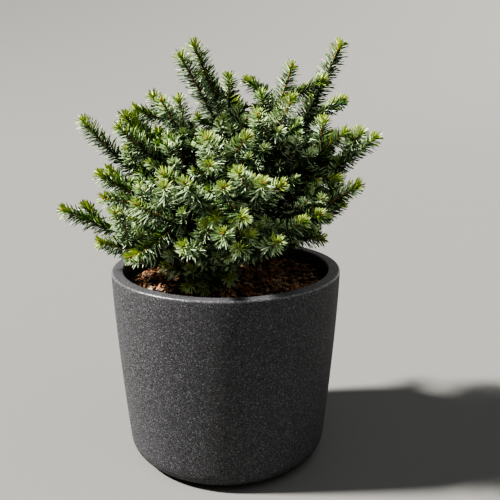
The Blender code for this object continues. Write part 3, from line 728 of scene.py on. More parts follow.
@dataclass
class Mulch:
    """The potting bed inside the planter, and the bark chips and crumbs that cover it."""

    planter: Planter
    top: float = 0.283
    gap: float = 0.0003
    heap: float = 0.0035
    level_radius: float = 0.036
    # Turns in radians a metre, in x and y: of the long waves and of the short ones
    long_waves: Range = (41, 37)
    short_waves: Range = (83, 61)
    # Steps of the bed's section and of its turn
    foot_steps: int = 5
    wall_steps: int = 7
    rings: int = 46
    segments: int = 132
    # The lumps' height, the width over which they begin, and how near to the top a point counts as on it
    relief: float = 0.0016
    relief_edge: float = 0.004
    level_slack: float = 1e-6
    rule: ChipRule = ChipRule()
    bed_finish: WoodyFinish = WoodyFinish(
        "potting_bed", (0.022, 0.013, 0.009), (0.060, 0.034, 0.021), 0.95, 0.8, 0.0020,
        (0.006, 0.004, 0.003), 240.0, 420.0, 0.20, EVEN)
    chip_finishes: tuple[WoodyFinish, ...] = (
        WoodyFinish("bark_chip_red", (0.280, 0.130, 0.066), (0.540, 0.290, 0.155), 0.85, 0.5, 0.0008,
                    (0.080, 0.040, 0.024), 300.0, 330.0, 0.10, EVEN),
        WoodyFinish("bark_chip_dark", (0.060, 0.038, 0.028), (0.150, 0.095, 0.068), 0.90, 0.5, 0.0008,
                    (0.018, 0.012, 0.009), 300.0, 330.0, 0.10, EVEN),
        WoodyFinish("bark_chip_tan", (0.450, 0.290, 0.175), (0.700, 0.490, 0.320), 0.85, 0.5, 0.0008,
                    (0.180, 0.110, 0.070), 300.0, 330.0, 0.10, EVEN),
        WoodyFinish("pale_grit", (0.620, 0.600, 0.560), (0.800, 0.780, 0.740), 0.80, 0.3, 0.0005,
                    (0.400, 0.380, 0.350), 300.0, 500.0, 0.10, EVEN))

    def bed_height(self, x: np.ndarray, y: np.ndarray) -> np.ndarray:
        """Height of the bed: level at the trunk, then top + heap (2 sin ax cos by + sin(cx - dy)) / 3.

        Args:
            x: Places across.
            y: Places from front to back.

        Returns:
            The height at each place.
        """
        outside = np.clip((np.hypot(x, y) - self.level_radius) / self.level_radius, 0, 1)
        a, b = self.long_waves
        c, d = self.short_waves
        heaps = 2 * (np.sin(a * x) * np.cos(b * y)) + np.sin(c * x - d * y)
        return self.top + self.heap * outside * heaps / 3

    def build_bed(self, effects: Effects) -> bpy.types.Object:
        """The bed: a turned body whose top carries the waves and a fine lumpy relief.

        Args:
            effects: The node groups.

        Returns:
            The piece.
        """
        inset = self.planter.wall + self.gap
        edge = float(self.planter.wall_radius(self.top)) - self.planter.wall - self.gap
        floor = self.planter.floor + self.gap
        foot = self.planter.round_foot(floor, self.planter.inner_round, inset, self.foot_steps)
        heights = np.linspace(foot[-1, 1], self.top, self.wall_steps + 1)[1:]
        wall = np.stack([self.planter.wall_radius(heights) - self.planter.wall - self.gap, heights], axis=1)
        radii = np.linspace(edge, 0.0, self.rings + 1)[1:]
        top = np.stack([radii, np.full(self.rings, self.top)], axis=1)
        shell = turned_round(np.concatenate([[[0.0, floor]], foot, wall, top]), self.segments)
        x, y, z = shell.points.T
        inner = np.clip((edge - np.hypot(x, y)) / self.relief_edge, 0, 1)
        raised = self.bed_height(x, y) + self.relief * inner * waves(x, y, LUMPS)
        shell.points[:, 2] = np.where(z > self.top - self.level_slack, raised, z)
        return new_piece("potting_bed", shell, [self.bed_finish.material(effects)], ("soil",))

    def chip_sizes(self, draw: np.random.Generator) -> tuple[np.ndarray, np.ndarray, np.ndarray, np.ndarray]:
        """Draw every chip's kind and size.

        Args:
            draw: The source of the draws.

        Returns:
            Kind, length, width and thickness of each chip; the last kind is grit, and sticks are longer.
        """
        rule, count = self.rule, self.rule.count
        low, high = rule.lengths
        length = low + (high - low) * draw.random(count) ** rule.length_skew
        kinds = draw.choice(len(rule.kind_shares), count, p=rule.kind_shares)
        gritty = kinds == len(rule.kind_shares) - 1
        stick = (draw.random(count) < rule.stick_share) & ~gritty
        longer = np.where(stick, length * rule.stick_stretch + rule.stick_extra, length)
        length = np.where(gritty, low + rule.grit_extra, longer)
        narrow, wide = draw.uniform(*rule.stick_widths, count), draw.uniform(*rule.widths, count)
        width = length * np.where(stick, narrow, wide)
        thick = np.where(stick, width * rule.stick_thickness, length * draw.uniform(*rule.thicknesses, count))
        return kinds, length, width, np.clip(thick, *rule.thickness_limits)

    def build_chips(self, effects: Effects) -> bpy.types.Object:
        """The chips: six-cornered slabs and sticks of uneven outline, each tilted its own way.

        A corner is middle + along (half length) r cos t + across (half width) r sin t, with its own r,
        lowered or raised by half the thickness. The upper outline is the lower one shrunk, and both bend by
        cos^2 t.

        Args:
            effects: The node groups.

        Returns:
            The piece.
        """
        rule, count, sides = self.rule, self.rule.count, CHIP_CORNERS
        draw = np.random.default_rng(SEED)
        edge = float(self.planter.wall_radius(self.top)) - self.planter.wall
        radial = np.sqrt(draw.uniform(rule.trunk_clear ** 2, (edge - rule.rim_clear) ** 2, count))
        turn = draw.uniform(0, math.tau, count)
        x, y = radial * np.cos(turn), radial * np.sin(turn)
        kinds, length, width, thick = self.chip_sizes(draw)
        tilt = np.radians(np.abs(draw.normal(0, rule.tilt, count)).clip(0, rule.steepest))
        spin = draw.uniform(0, math.tau, count)
        away = draw.uniform(0, math.tau, count)
        up = np.stack([np.sin(tilt) * np.cos(away), np.sin(tilt) * np.sin(away), np.cos(tilt)], axis=1)
        flat = np.stack([np.cos(spin), np.sin(spin), np.zeros(count)], axis=1)
        along = unit(flat - up * np.sum(flat * up, axis=1, keepdims=True))
        across = np.cross(up, along)
        reach = np.minimum(length / 2, np.maximum(edge - rule.wall_clear - radial, rule.least_reach))
        sunk = np.sin(tilt) * reach * rule.tilt_lift
        height = self.bed_height(x, y) + thick * rule.lift + sunk + draw.uniform(0, rule.piled, count)
        middle = np.stack([x, y, height], axis=1)
        stray = draw.uniform(-rule.corner_stray, rule.corner_stray, (count, sides))
        turns = np.arange(sides) * math.tau / sides + stray
        uneven = draw.uniform(*rule.unevenness, (count, sides))
        half_width = np.minimum(width / 2, reach)
        outline = (along[:, None] * (np.cos(turns) * uneven * reach[:, None])[:, :, None]
                   + across[:, None] * (np.sin(turns) * uneven * half_width[:, None])[:, :, None])
        half = (up * thick[:, None] / 2)[:, None]
        curl = draw.uniform(-rule.bend, rule.bend, count)[:, None] * np.cos(turns) ** 2 * reach[:, None]
        bend = up[:, None] * curl[:, :, None]
        lower = middle[:, None] + outline - half + bend
        upper = middle[:, None] + outline * rule.upper_share + half + bend
        points = np.concatenate([lower, upper], axis=1).reshape(-1, 3)
        side = np.array([[i, (i + 1) % sides, (i + 1) % sides + sides, i + sides] for i in range(sides)])
        template = np.concatenate([side, np.array(CHIP_CAPS)])
        faces = (template[None] + (np.arange(count) * 2 * sides)[:, None, None]).reshape(-1, 4)
        shell = Shell(points, faces, np.repeat(kinds, len(template)))
        materials = [finish.material(effects) for finish in self.chip_finishes]
        return new_piece("bark_chips", shell, materials, smooth=False)


# Skeleton

class Kind(Enum):
    """What a shoot grows from."""

    STEM = "the end of a bough"
    FORK = "a stem, out to a tip of its own"
    SIDE = "a stem, as one of its main side shoots"
    TWIG = "a shoot, as a finer one"
    INNER = "a bough"


@dataclass(frozen=True)
class Tip:
    """A shoot's end seen from the hub: azimuth from +X, rise, reach in mm, and where on the stem it forks."""

    azimuth: float
    rise: float
    reach: float
    fork: float = 0.0


@dataclass(frozen=True)
class Mass:
    """A mass of foliage: its name, how far its limb sags below a straight run, and its tips."""

    name: str
    sweep: float
    tips: tuple[Tip, ...]


@dataclass(frozen=True)
class Shoot:
    """A shoot: its line, what it grows from, its wood's first and last radius, its length without needles,
    and how near to the crown's outside its two ends are, from 0 at the hub to 1."""

    line: np.ndarray
    kind: Kind
    radii: Range
    bare: float = 0.006
    depths: Range = (0.0, 1.0)

    def length(self) -> float:
        """Length of its line."""
        return float(distances_along(self.line)[-1])


@dataclass(frozen=True)
class TwigRule:
    """How twigs leave a shoot: bare start, free end, spacing, lengths, angle and tries at each place."""

    start: float
    free: float
    spacing: float
    lengths: Range
    angle: float
    tries: int


MILLIMETRES = 1000
# From the lowest root to the highest
MASSES = (
    Mass("foot_front", 6, (Tip(267, -31, 98),)),
    Mass("back_low", 14, (Tip(92, 8, 208), Tip(112, 14, 205, 0.25))),
    Mass("foot_left", 6, (Tip(240, -23, 138),)),
    Mass("right_low", 12, (Tip(22, 10, 201), Tip(3, -4, 146, 0.05), Tip(44, 7, 198, 0.15))),
    Mass("left_low", 12, (Tip(208, 3, 215), Tip(220, -2, 188, 0.12))),
    Mass("front_low_right", 10, (Tip(290, 9, 194), Tip(306, 16, 182, 0.2))),
    Mass("left_long", 16, (Tip(187, 10, 264),)),
    Mass("right_mid", 10, (Tip(-18, 24, 217), Tip(-28, 17, 157, 0.1))),
    Mass("front_low_left", 10, (Tip(251, 7, 190),)),
    Mass("back_left_low", 12, (Tip(150, 10, 228), Tip(131, 5, 198, 0.2))),
    Mass("front_low", 10, (Tip(268, 13, 198),)),
    Mass("back_right", 12, (Tip(52, 28, 240), Tip(70, 24, 218, 0.2))),
    Mass("left_front", 12, (Tip(228, 21, 205),)),
    Mass("back_mid", 12, (Tip(98, 36, 228), Tip(84, 30, 205, 0.3))),
    Mass("left_mid", 12, (Tip(197, 27, 227), Tip(211, 20, 222, 0.1))),
    Mass("front_mid_right", 10, (Tip(284, 30, 219), Tip(300, 34, 178, 0.2))),
    Mass("back_left", 12, (Tip(146, 33, 245), Tip(126, 40, 222, 0.2))),
    Mass("front_mid_left", 10, (Tip(251, 31, 209), Tip(236, 35, 200, 0.2))),
    Mass("right_long", 14, (Tip(-4, 35, 268),)),
    Mass("left_upper", 28, (Tip(180, 38, 289),)),
    Mass("front_mid", 8, (Tip(268, 30, 206),)),
    Mass("back_crown", 10, (Tip(66, 49, 232), Tip(100, 56, 228, 0.15))),
    Mass("left_shoulder", 12, (Tip(197, 45, 242), Tip(169, 49, 239, 0.1))),
    Mass("right_upper", 10, (Tip(-15, 43, 240), Tip(20, 42, 225, 0.15))),
    Mass("left_crown", 6, (Tip(154, 56, 256), Tip(184, 63, 233, 0.1))),
    Mass("leader_far_right", 22, (Tip(10, 60, 335), Tip(25, 46, 284, 0.2))),
    Mass("front_crown", 8, (Tip(256, 52, 205), Tip(284, 56, 196, 0.12))),
    Mass("leader_right", 2, (Tip(12, 70, 274), Tip(72, 73, 245, 0.45))),
    Mass("leader_mid", 4, (Tip(96, 78, 250),)),
    Mass("front_upright", 6, (Tip(-38, 62, 241),)),
    Mass("leader", 0, (Tip(180, 79, 294), Tip(194, 74, 284, 0.16))),
)


@dataclass
class Skeleton:
    """The trunk, every bough and every shoot, laid out by the CAD source's rule, and finer twigs."""

    mulch: Mulch
    trunk_height: float = 0.162
    trunk_radii: Range = (0.0092, 0.0048)
    trunk_lean: Range = (0.014, 0.004)
    trunk_bend: float = 1.3
    flare: float = 0.0085
    flare_fall: float = 0.011
    flare_roots: int = 5
    flare_hollow: float = 0.4
    root_heights: Range = (0.023, 0.150)
    bough_share: float = 0.36
    shortest_with_bough: float = 200.0
    steepest_start: float = 52.0
    bough_radii: Range = (0.0042, 0.0031)
    bough_taper: float = 0.75
    seat: float = 0.0008
    # The stretch of a limb in which its way out of the bark is looked for, and in how many places
    root_search: float = 0.040
    root_places: int = 161
    # The bends of limbs, leader and forks, and how much a fork and a side shoot follow their stem at first
    sweep_handle: float = 0.42
    leader_handle: float = 0.30
    fork_handle: float = 0.45
    fork_follow: float = 0.25
    fork_ahead: float = 0.02
    side_follow: float = 0.25
    # Radii of the bare wood at a shoot's two ends
    leader_wood: Range = (0.0040, 0.0014)
    low_wood: Range = (0.0030, 0.0012)
    stem_end: float = 0.0012
    fork_wood: Range = (0.0022, 0.0012)
    side_wood: Range = (0.0017, 0.0011)
    twig_wood: Range = (0.0013, 0.0009)
    # Where a mass's three main side shoots leave its stem, and how they are tried and kept apart
    fill_shares: tuple[float, float, float] = (0.10, 0.38, 0.66)
    fill_tries: int = 6
    fill_lengths: Range = (0.046, 0.080)
    fill_angle: float = 52.0
    fill_step: float = 0.004
    fill_clear: float = 0.006
    free_of_fork: float = 0.026
    shoot_spacing: float = 0.0125
    # How much shorter twigs get towards a parent's tip, and how far their roll and angle stray, in degrees
    twig_shrink: float = 0.45
    roll_stray: float = 14.0
    angle_stray: float = 8.0
    # A twig's start without needles, the step of its spots, which of its points are kept, and its clearances
    twig_bare: float = 0.004
    twig_step: float = 0.005
    twig_thinning: int = 3
    free_of_parent: float = 0.013
    past_tip: float = 0.002
    twig_clear: float = 0.0045
    twig_spacing: float = 0.0125
    inner_spacing: float = 0.0090
    inner_share: float = 0.62
    # The step of a limb's spots and which of them count for twigs and needles, and what shoots keep clear of
    spot_step: float = 0.0025
    spot_thinning: int = 2
    bed_clear: float = 0.0060
    rim_clear: float = 0.0040
    tip_trim: float = 0.005
    # How far a shoot may stray from the noted spots, and the half angles, in degrees, of the cones about the
    # hub in which its reach and its depth are taken
    stray: float = 0.037
    reach_cone: float = 14.0
    depth_cone: float = 28.0
    rules: dict[Kind, TwigRule] = field(default_factory=lambda: {
        Kind.INNER: TwigRule(0.012, 0.004, 0.0070, (0.028, 0.056), 62.0, 7),
        Kind.STEM: TwigRule(0.004, 0.056, 0.0080, (0.030, 0.058), 50.0, 7),
        Kind.FORK: TwigRule(0.010, 0.050, 0.0090, (0.030, 0.050), 48.0, 7),
        Kind.SIDE: TwigRule(0.010, 0.034, 0.0100, (0.024, 0.040), 48.0, 6)})
    boughs: dict[str, Shoot] = field(default_factory=dict)
    shoots: dict[str, list[Shoot]] = field(default_factory=dict)
    spots: np.ndarray = field(default_factory=lambda: np.empty((0, 3)))
    owners: np.ndarray = field(default_factory=lambda: np.empty(0, dtype=int))
    reached: np.ndarray = field(default_factory=lambda: np.empty((0, 3)))
    bearings: np.ndarray = field(default_factory=lambda: np.empty((0, 3)))
    reaches: np.ndarray = field(default_factory=lambda: np.empty(0))
    limb_spots: np.ndarray = field(default_factory=lambda: np.empty((0, 3)))
    limb_radii: np.ndarray = field(default_factory=lambda: np.empty(0))
    hub: np.ndarray = field(default_factory=lambda: np.array([0.010, 0.0, 0.360]))

    def trunk_axis(self, height: float) -> np.ndarray:
        """Middle of the trunk, which leans by a power of the height's share.

        Args:
            height: Height above the trunk's foot.

        Returns:
            The point.
        """
        share = (height / self.trunk_height) ** self.trunk_bend
        return np.array([self.trunk_lean[0] * share, self.trunk_lean[1] * share,
                         self.mulch.top + self.mulch.gap + height])

    def trunk_radius(self, height: np.ndarray, turn: np.ndarray) -> np.ndarray:
        """Radius of the trunk: a straight taper, and a flare that dies away upwards, hollow between roots.

        Args:
            height: Height above the trunk's foot.
            turn: Turn about its axis, in radians.

        Returns:
            low + (high - low) height share + flare e^(-height / fall) (1 - hollow).
        """
        low, high = self.trunk_radii
        hollow = self.flare_hollow * (1 + np.sin(self.flare_roots * turn)) / 2
        taper = low + (high - low) * height / self.trunk_height
        return taper + self.flare * np.exp(-height / self.flare_fall) * (1 - hollow)

    def outside_bark(self, point: np.ndarray) -> bool:
        """Whether a point is outside the trunk.

        Args:
            point: The point.

        Returns:
            True where it lies farther out than the bark by at least the seat.
        """
        height = min(max(point[2] - self.mulch.top - self.mulch.gap, 0.0), self.trunk_height)
        across = point - self.trunk_axis(height)
        turn = math.atan2(across[1], across[0])
        return math.hypot(across[0], across[1]) > float(self.trunk_radius(height, turn)) + self.seat

    def limb_line(self, mass: Mass, order: int) -> np.ndarray:
        """The line of a mass's bough and stem.

        Args:
            mass: The mass.
            order: Its place among the masses, from the lowest root up.

        Returns:
            The line from the trunk's axis to the mass's first tip.
        """
        end = self.tip_point(mass.tips[0])
        if mass.name == "leader":
            return swept_line(self.trunk_axis(self.trunk_height), direction(0, 90), end, self.leader_handle)
        start = self.trunk_axis(self.at_root(self.root_heights, order))
        run = end - start
        azimuth = math.degrees(math.atan2(run[1], run[0]))
        rise = math.degrees(math.asin(run[2] / np.linalg.norm(run)))
        leaving = direction(azimuth, min(rise - mass.sweep, self.steepest_start))
        return swept_line(start, leaving, end, self.sweep_handle)

    def at_root(self, ends: Range, order: int) -> float:
        """The value for a mass, from the lowest root's to the highest one's; the leader has no root."""
        return ends[0] + (ends[1] - ends[0]) * order / (len(MASSES) - 2)

    def tip_point(self, tip: Tip) -> np.ndarray:
        """Where a tip is."""
        return self.hub + direction(tip.azimuth, tip.rise) * tip.reach / MILLIMETRES

    def root_distance(self, line: np.ndarray) -> float:
        """Where a limb comes out of the bark.

        Args:
            line: The limb's line from the trunk's axis.

        Returns:
            The distance along the line.
        """
        measured = np.linspace(0, self.root_search, self.root_places)
        outside = [self.outside_bark(point) for point in points_along(line, measured)]
        return float(measured[outside.index(True)])

    def add_limb(self, points: np.ndarray, radii: np.ndarray) -> None:
        """Note a limb, which nothing may touch."""
        self.limb_spots = np.concatenate([self.limb_spots, points])
        self.limb_radii = np.concatenate([self.limb_radii, radii])

    def add_shoot(self, name: str, owner: int, shoot: Shoot, step: float) -> None:
        """Note a shoot.

        Args:
            name: The mass that it belongs to.
            owner: The number of that mass.
            shoot: The shoot.
            step: Distance between the spots that stand for it.
        """
        points = points_along(shoot.line, np.arange(0, shoot.length(), step))
        self.shoots.setdefault(name, []).append(shoot)
        self.spots = np.concatenate([self.spots, points])
        self.owners = np.concatenate([self.owners, np.full(len(points), owner)])

    def clear_of_limbs(self, points: np.ndarray, margin: float) -> bool:
        """Whether points keep clear of the trunk, the boughs, the bed and the planter's rim.

        Args:
            points: The points.
            margin: Their distance from the bark at least.

        Returns:
            True where all of them do.
        """
        planter = self.mulch.planter
        away = np.linalg.norm(points[:, None] - self.limb_spots[None], axis=2) - self.limb_radii
        over_bed = points[:, 2] > self.mulch.top + self.bed_clear
        over_rim = points[:, 2] > planter.height + self.rim_clear
        in_pot = np.hypot(points[:, 0], points[:, 1]) < planter.radius - planter.wall - self.rim_clear
        return bool(np.all(away > margin) and np.all(over_bed) and np.all(over_rim | in_pot))

    def fork_line(self, stem: np.ndarray, share: float, end: np.ndarray) -> np.ndarray:
        """Line of a fork that leaves a stem and turns to its own end.

        Args:
            stem: The stem's line.
            share: Where it forks, as a share of the stem's length.
            end: The fork's own end.

        Returns:
            The fork's line.
        """
        places = np.array([share, share + self.fork_ahead]) * distances_along(stem)[-1]
        start, ahead = points_along(stem, places)
        leaving = unit(end - start) * (1 - self.fork_follow) + unit(ahead - start) * self.fork_follow
        return swept_line(start, leaving, end, self.fork_handle)

    def side_line(self, stem: np.ndarray, share: float, roll: float, length: float,
                  angle: float) -> np.ndarray:
        """Line of a side shoot that leaves a stem at its own roll about it and bends forward.

        Args:
            stem: The stem's line.
            share: Where on the stem, as a share of its points.
            roll: Turn about the stem, in radians.
            length: Straight length of the shoot.
            angle: Degrees between the stem's run and the shoot's.

        Returns:
            The shoot's line.
        """
        tangents, across, over = frames_along(stem)
        place = int(round(share * (len(stem) - 1)))
        sideways = across[place] * math.cos(roll) + over[place] * math.sin(roll)
        lean = math.radians(angle)
        run = unit(tangents[place] * math.cos(lean) + sideways * math.sin(lean))
        leaving = tangents[place] * self.side_follow + sideways
        return swept_line(stem[place], leaving, stem[place] + run * length, self.fork_handle)

    def room_for_fill(self, line: np.ndarray, owner: int) -> bool:
        """Whether a main side shoot has room.

        Args:
            line: Its line.
            owner: The number of its mass.

        Returns:
            True where it keeps its distance from limbs and from every shoot, bar its own fork, within reach.
        """
        length = distances_along(line)[-1]
        points = points_along(line, np.arange(self.fill_step, length, self.fill_step))
        others = np.linalg.norm(points[:, None] - self.spots[self.owners != owner][None], axis=2).min()
        grown = points_along(line, np.arange(self.free_of_fork, length, self.fill_step))
        own = np.linalg.norm(grown[:, None] - self.spots[self.owners == owner][None], axis=2).min()
        roomy = others > self.shoot_spacing and own > self.shoot_spacing
        return bool(roomy) and self.within_reach(line[-1]) and self.clear_of_limbs(points, self.fill_clear)

    def note_reach(self, spots: np.ndarray) -> None:
        """Take these spots as the reach that later shoots keep to."""
        self.reached, self.bearings = spots, unit(spots - self.hub)
        self.reaches = np.linalg.norm(spots - self.hub, axis=1)

    def within_reach(self, point: np.ndarray) -> bool:
        """Whether a point is within the noted reach.

        Args:
            point: The point.

        Returns:
            True where it is near a noted spot, and no farther from the hub than those in its direction.
        """
        beside = self.bearings @ unit(point - self.hub) > math.cos(math.radians(self.reach_cone))
        near = np.linalg.norm(self.reached - point, axis=1).min()
        span = np.linalg.norm(point - self.hub)
        return bool(near < self.stray and np.any(beside) and span < self.reaches[beside].max())

    def start_mass(self, mass: Mass, order: int) -> Shoot:
        """Lay out a mass's bough, if it has one.

        Args:
            mass: The mass.
            order: Its place among the masses, from the lowest root up.

        Returns:
            Its stem, which meets the bough or the trunk.
        """
        line = self.limb_line(mass, order)
        length = distances_along(line)[-1]
        gap = self.mulch.gap
        if mass.name == "leader":
            return Shoot(part_of(line, gap, length), Kind.STEM, self.leader_wood, 0.0)
        root = self.root_distance(line)
        if mass.tips[0].reach < self.shortest_with_bough:
            return Shoot(part_of(line, root, length), Kind.STEM, self.low_wood, 0.0)
        bough = part_of(line, root, length * self.bough_share)
        radius = self.at_root(self.bough_radii, order)
        self.boughs[mass.name] = Shoot(bough, Kind.INNER, (radius, radius * self.bough_taper))
        points = points_along(bough, np.arange(0, distances_along(bough)[-1], self.spot_step))
        self.add_limb(points, np.linspace(radius, radius * self.bough_taper, len(points)))
        stem = part_of(line, length * self.bough_share + gap, length)
        return Shoot(stem, Kind.STEM, (radius * self.bough_taper, self.stem_end), 0.0)

    def lay_out(self) -> None:
        """Lay out the limbs and the shoots of the CAD source."""
        heights = np.arange(0, self.trunk_height, self.spot_step)
        widest = -math.pi / 2 / self.flare_roots
        axis = np.stack([self.trunk_axis(height) for height in heights])
        self.add_limb(axis, self.trunk_radius(heights, widest))
        stems = [self.start_mass(mass, order) for order, mass in enumerate(MASSES)]
        for owner, (mass, stem) in enumerate(zip(MASSES, stems)):
            self.add_shoot(mass.name, owner, stem, self.spot_step)
            for tip in mass.tips[1:]:
                line = self.fork_line(stem.line, tip.fork, self.tip_point(tip))
                self.add_shoot(mass.name, owner, Shoot(line, Kind.FORK, self.fork_wood), self.spot_step)
        self.note_reach(self.spots)
        for owner, (mass, stem) in enumerate(zip(MASSES, stems)):
            self.add_fill(mass, owner, stem.line)
        self.note_reach(self.spots)
        for name, shoots in self.shoots.items():
            self.shoots[name] = [self.trimmed(shoot) for shoot in shoots]
        LOG.info("source shoots: %d", sum(len(own) for own in self.shoots.values()))

    def trimmed(self, shoot: Shoot) -> Shoot:
        """The shoot with its depths, ended short of its tip, where its last needles reach."""
        line = part_of(shoot.line, 0.0, shoot.length() - self.tip_trim)
        return replace(shoot, line=line, depths=(self.depth(line[0]), self.depth(line[-1])))

    def add_fill(self, mass: Mass, owner: int, stem: np.ndarray) -> None:
        """Grow a mass's main side shoots where there is room for them.

        Args:
            mass: The mass.
            owner: Its number.
            stem: Its stem's line.
        """
        draw = random.Random(SEED * SIDE_DRAWS + owner)
        roll = draw.uniform(0, 360)
        for share in self.fill_shares:
            for _ in range(self.fill_tries):
                roll += GOLDEN_TURN
                length = draw.uniform(*self.fill_lengths)
                line = self.side_line(stem, share, math.radians(roll), length, self.fill_angle)
                if self.room_for_fill(line, owner):
                    self.add_shoot(mass.name, owner, Shoot(line, Kind.SIDE, self.side_wood), self.spot_step)
                    break

    def grow_twigs(self) -> None:
        """Carry every bough and shoot to finer twigs, which stay within the reach of the source's shoots."""
        self.spots, self.owners = self.spots[::self.spot_thinning], self.owners[::self.spot_thinning]
        for owner, mass in enumerate(MASSES):
            draw = random.Random(SEED * TWIG_DRAWS + owner)
            parents = list(self.shoots[mass.name])
            if mass.name in self.boughs:
                parents.append(self.boughs[mass.name])
            for parent in parents:
                self.grow_along(parent, mass.name, owner, draw)
        LOG.info("all shoots: %d", sum(len(own) for own in self.shoots.values()))

    def grow_along(self, parent: Shoot, name: str, owner: int, draw: random.Random) -> None:
        """Grow the twigs of one parent, each at its own roll, where there is room and within reach.

        Args:
            parent: The bough or shoot that they grow from.
            name: The mass that they belong to.
            owner: The number of that mass.
            draw: The source of the draws.
        """
        rule = self.rules[parent.kind]
        length = parent.length()
        roll = draw.uniform(0, 360)
        for place in np.arange(rule.start, length - rule.free, rule.spacing):
            share = place / length
            shrink = 1.0 if parent.kind is Kind.INNER else 1 - self.twig_shrink * share
            for _ in range(rule.tries):
                roll += GOLDEN_TURN + draw.uniform(-self.roll_stray, self.roll_stray)
                grown = draw.uniform(*rule.lengths) * shrink
                angle = rule.angle + draw.uniform(-self.angle_stray, self.angle_stray)
                line = self.side_line(parent.line, share, math.radians(roll), grown, angle)
                if self.room_for_twig(line):
                    depths = (self.depth(line[0]), self.depth(line[-1]))
                    thinned = line[::self.twig_thinning]
                    twig = Shoot(thinned, Kind.TWIG, self.twig_wood, self.twig_bare, depths)
                    self.add_shoot(name, owner, twig, self.twig_step)
                    break

    def room_for_twig(self, line: np.ndarray) -> bool:
        """Whether a twig has room.

        Args:
            line: Its line.

        Returns:
            True where it keeps its distance from all limbs and shoots and its tip stays within reach.
        """
        if not self.within_reach(line[-1]):
            return False
        end = distances_along(line)[-1] + self.past_tip
        points = points_along(line, np.arange(self.free_of_parent, end, self.twig_step))
        away = np.linalg.norm(points[:, None] - self.spots[None], axis=2).min()
        inside = self.depth(line[-1]) < self.inner_share
        spacing = self.inner_spacing if inside else self.twig_spacing
        return bool(away > spacing) and self.clear_of_limbs(points, self.twig_clear)

    def depth(self, point: np.ndarray) -> float:
        """How far out a point is.

        Args:
            point: The point.

        Returns:
            Its distance from the hub, as a share of the reach of the spots in its direction.
        """
        beside = self.bearings @ unit(point - self.hub) > math.cos(math.radians(self.depth_cone))
        reach = self.reaches[beside].max() if np.any(beside) else np.linalg.norm(point - self.hub)
        return float(np.linalg.norm(point - self.hub) / reach)


# Trunk and boughs

SLOW_PLATES = ((1, 3, 0.4), (0.6, -5, 1.9), (1.7, 4, 3.1), (0.9, 7, 5.0))
QUICK_PLATES = ((2.9, 9, 0.8), (-3.7, 11, 2.2), (4.3, -8, 4.4))


@dataclass
class Timber:
    """The bark of the trunk and the boughs, raised in long plates and cracks."""

    skeleton: Skeleton
    trunk_rings: int = 110
    trunk_sides: int = 84
    bough_rings: int = 54
    bough_sides: int = 20
    # Turns in radians a metre, the plates' heights, and how much the slow and the quick waves count
    trunk_pitch: float = 170.0
    bough_pitch: float = 300.0
    plate_height: float = 0.0011
    bough_plates: float = 0.00035
    slow_share: float = 0.9
    quick_share: float = 0.35
    # How far a bough reaches into the trunk, how much wider its collar is there, and how soon that dies away
    sunk: float = 0.0040
    collar: float = 0.22
    collar_fall: float = 0.005
    trunk_finish: WoodyFinish = WoodyFinish(
        "trunk_bark", (0.075, 0.045, 0.030), (0.190, 0.125, 0.085), 0.90, 0.7, 0.0010,
        (0.020, 0.012, 0.009), 110.0, 210.0, 0.14)
    bough_finish: WoodyFinish = WoodyFinish(
        "bough_bark", (0.110, 0.060, 0.035), (0.230, 0.140, 0.085), 0.88, 0.5, 0.0006,
        (0.035, 0.020, 0.013), 160.0, 300.0, 0.12)

    def plates(self, along: np.ndarray, turns: np.ndarray, pitch: float) -> np.ndarray:
        """Relief of the bark: the folded sum of waves along and round the limb, sharp in the cracks.

        Args:
            along: Distance along the limb.
            turns: Turn about it, whose waves close after a full turn.
            pitch: Turns in radians a metre.

        Returns:
            The relief at each point, from -1 in a crack upwards.
        """
        slow = waves(along * pitch, turns, SLOW_PLATES)
        quick = waves(along * pitch, turns, QUICK_PLATES)
        return np.abs(slow) * self.slow_share + np.abs(quick) * self.quick_share - 1.0

    def build_trunk(self, effects: Effects) -> bpy.types.Object:
        """The trunk: rings on its leaning axis, with the flare's radius and the plates' relief.

        Args:
            effects: The node groups.

        Returns:
            The piece.
        """
        gap = self.skeleton.mulch.gap
        heights = np.linspace(0, self.skeleton.trunk_height, self.trunk_rings)
        turns = np.linspace(0, math.tau, self.trunk_sides, endpoint=False)
        axis = np.stack([self.skeleton.trunk_axis(height) for height in heights])
        relief = self.plates(heights[:, None], turns[None], self.trunk_pitch) * self.plate_height
        radii = self.skeleton.trunk_radius(heights[:, None], turns[None]) + relief
        round_out = np.stack([np.cos(turns), np.sin(turns), np.zeros(len(turns))], axis=1)
        rings = axis[:, None] + radii[:, :, None] * round_out[None]
        foot = axis[0] - np.array([0.0, 0.0, gap])
        shell = closed_tube(rings, foot, axis[-1] + np.array([0.0, 0.0, gap / 2]))
        return new_piece("trunk_bark", shell, [self.trunk_finish.material(effects)], ("trunk",))

    def build_boughs(self, effects: Effects) -> list[bpy.types.Object]:
        """The boughs: tapering rounds, each with a collar at its root, which reaches into the trunk's bark.

        Args:
            effects: The node groups.

        Returns:
            The pieces.
        """
        material = self.bough_finish.material(effects)
        made = []
        for name, bough in self.skeleton.boughs.items():
            tangents, _, _ = frames_along(bough.line)
            line = np.concatenate([[bough.line[0] - tangents[0] * self.sunk], bough.line])
            along = np.linspace(0, distances_along(line)[-1], self.bough_rings)
            turns = np.linspace(0, math.tau, self.bough_sides, endpoint=False)
            collar = 1 + self.collar * np.exp(-along / self.collar_fall)
            round_radii = np.linspace(*bough.radii, self.bough_rings) * collar
            relief = self.plates(along[:, None], turns[None], self.bough_pitch) * self.bough_plates
            shell = carried_round(points_along(line, along), round_radii[:, None] + relief, self.bough_sides)
            made.append(new_piece(name + "_bough_bark", shell, [material], (name + "_bough",)))
        return made


# Foliage

NEEDLE_CORNERS = 7
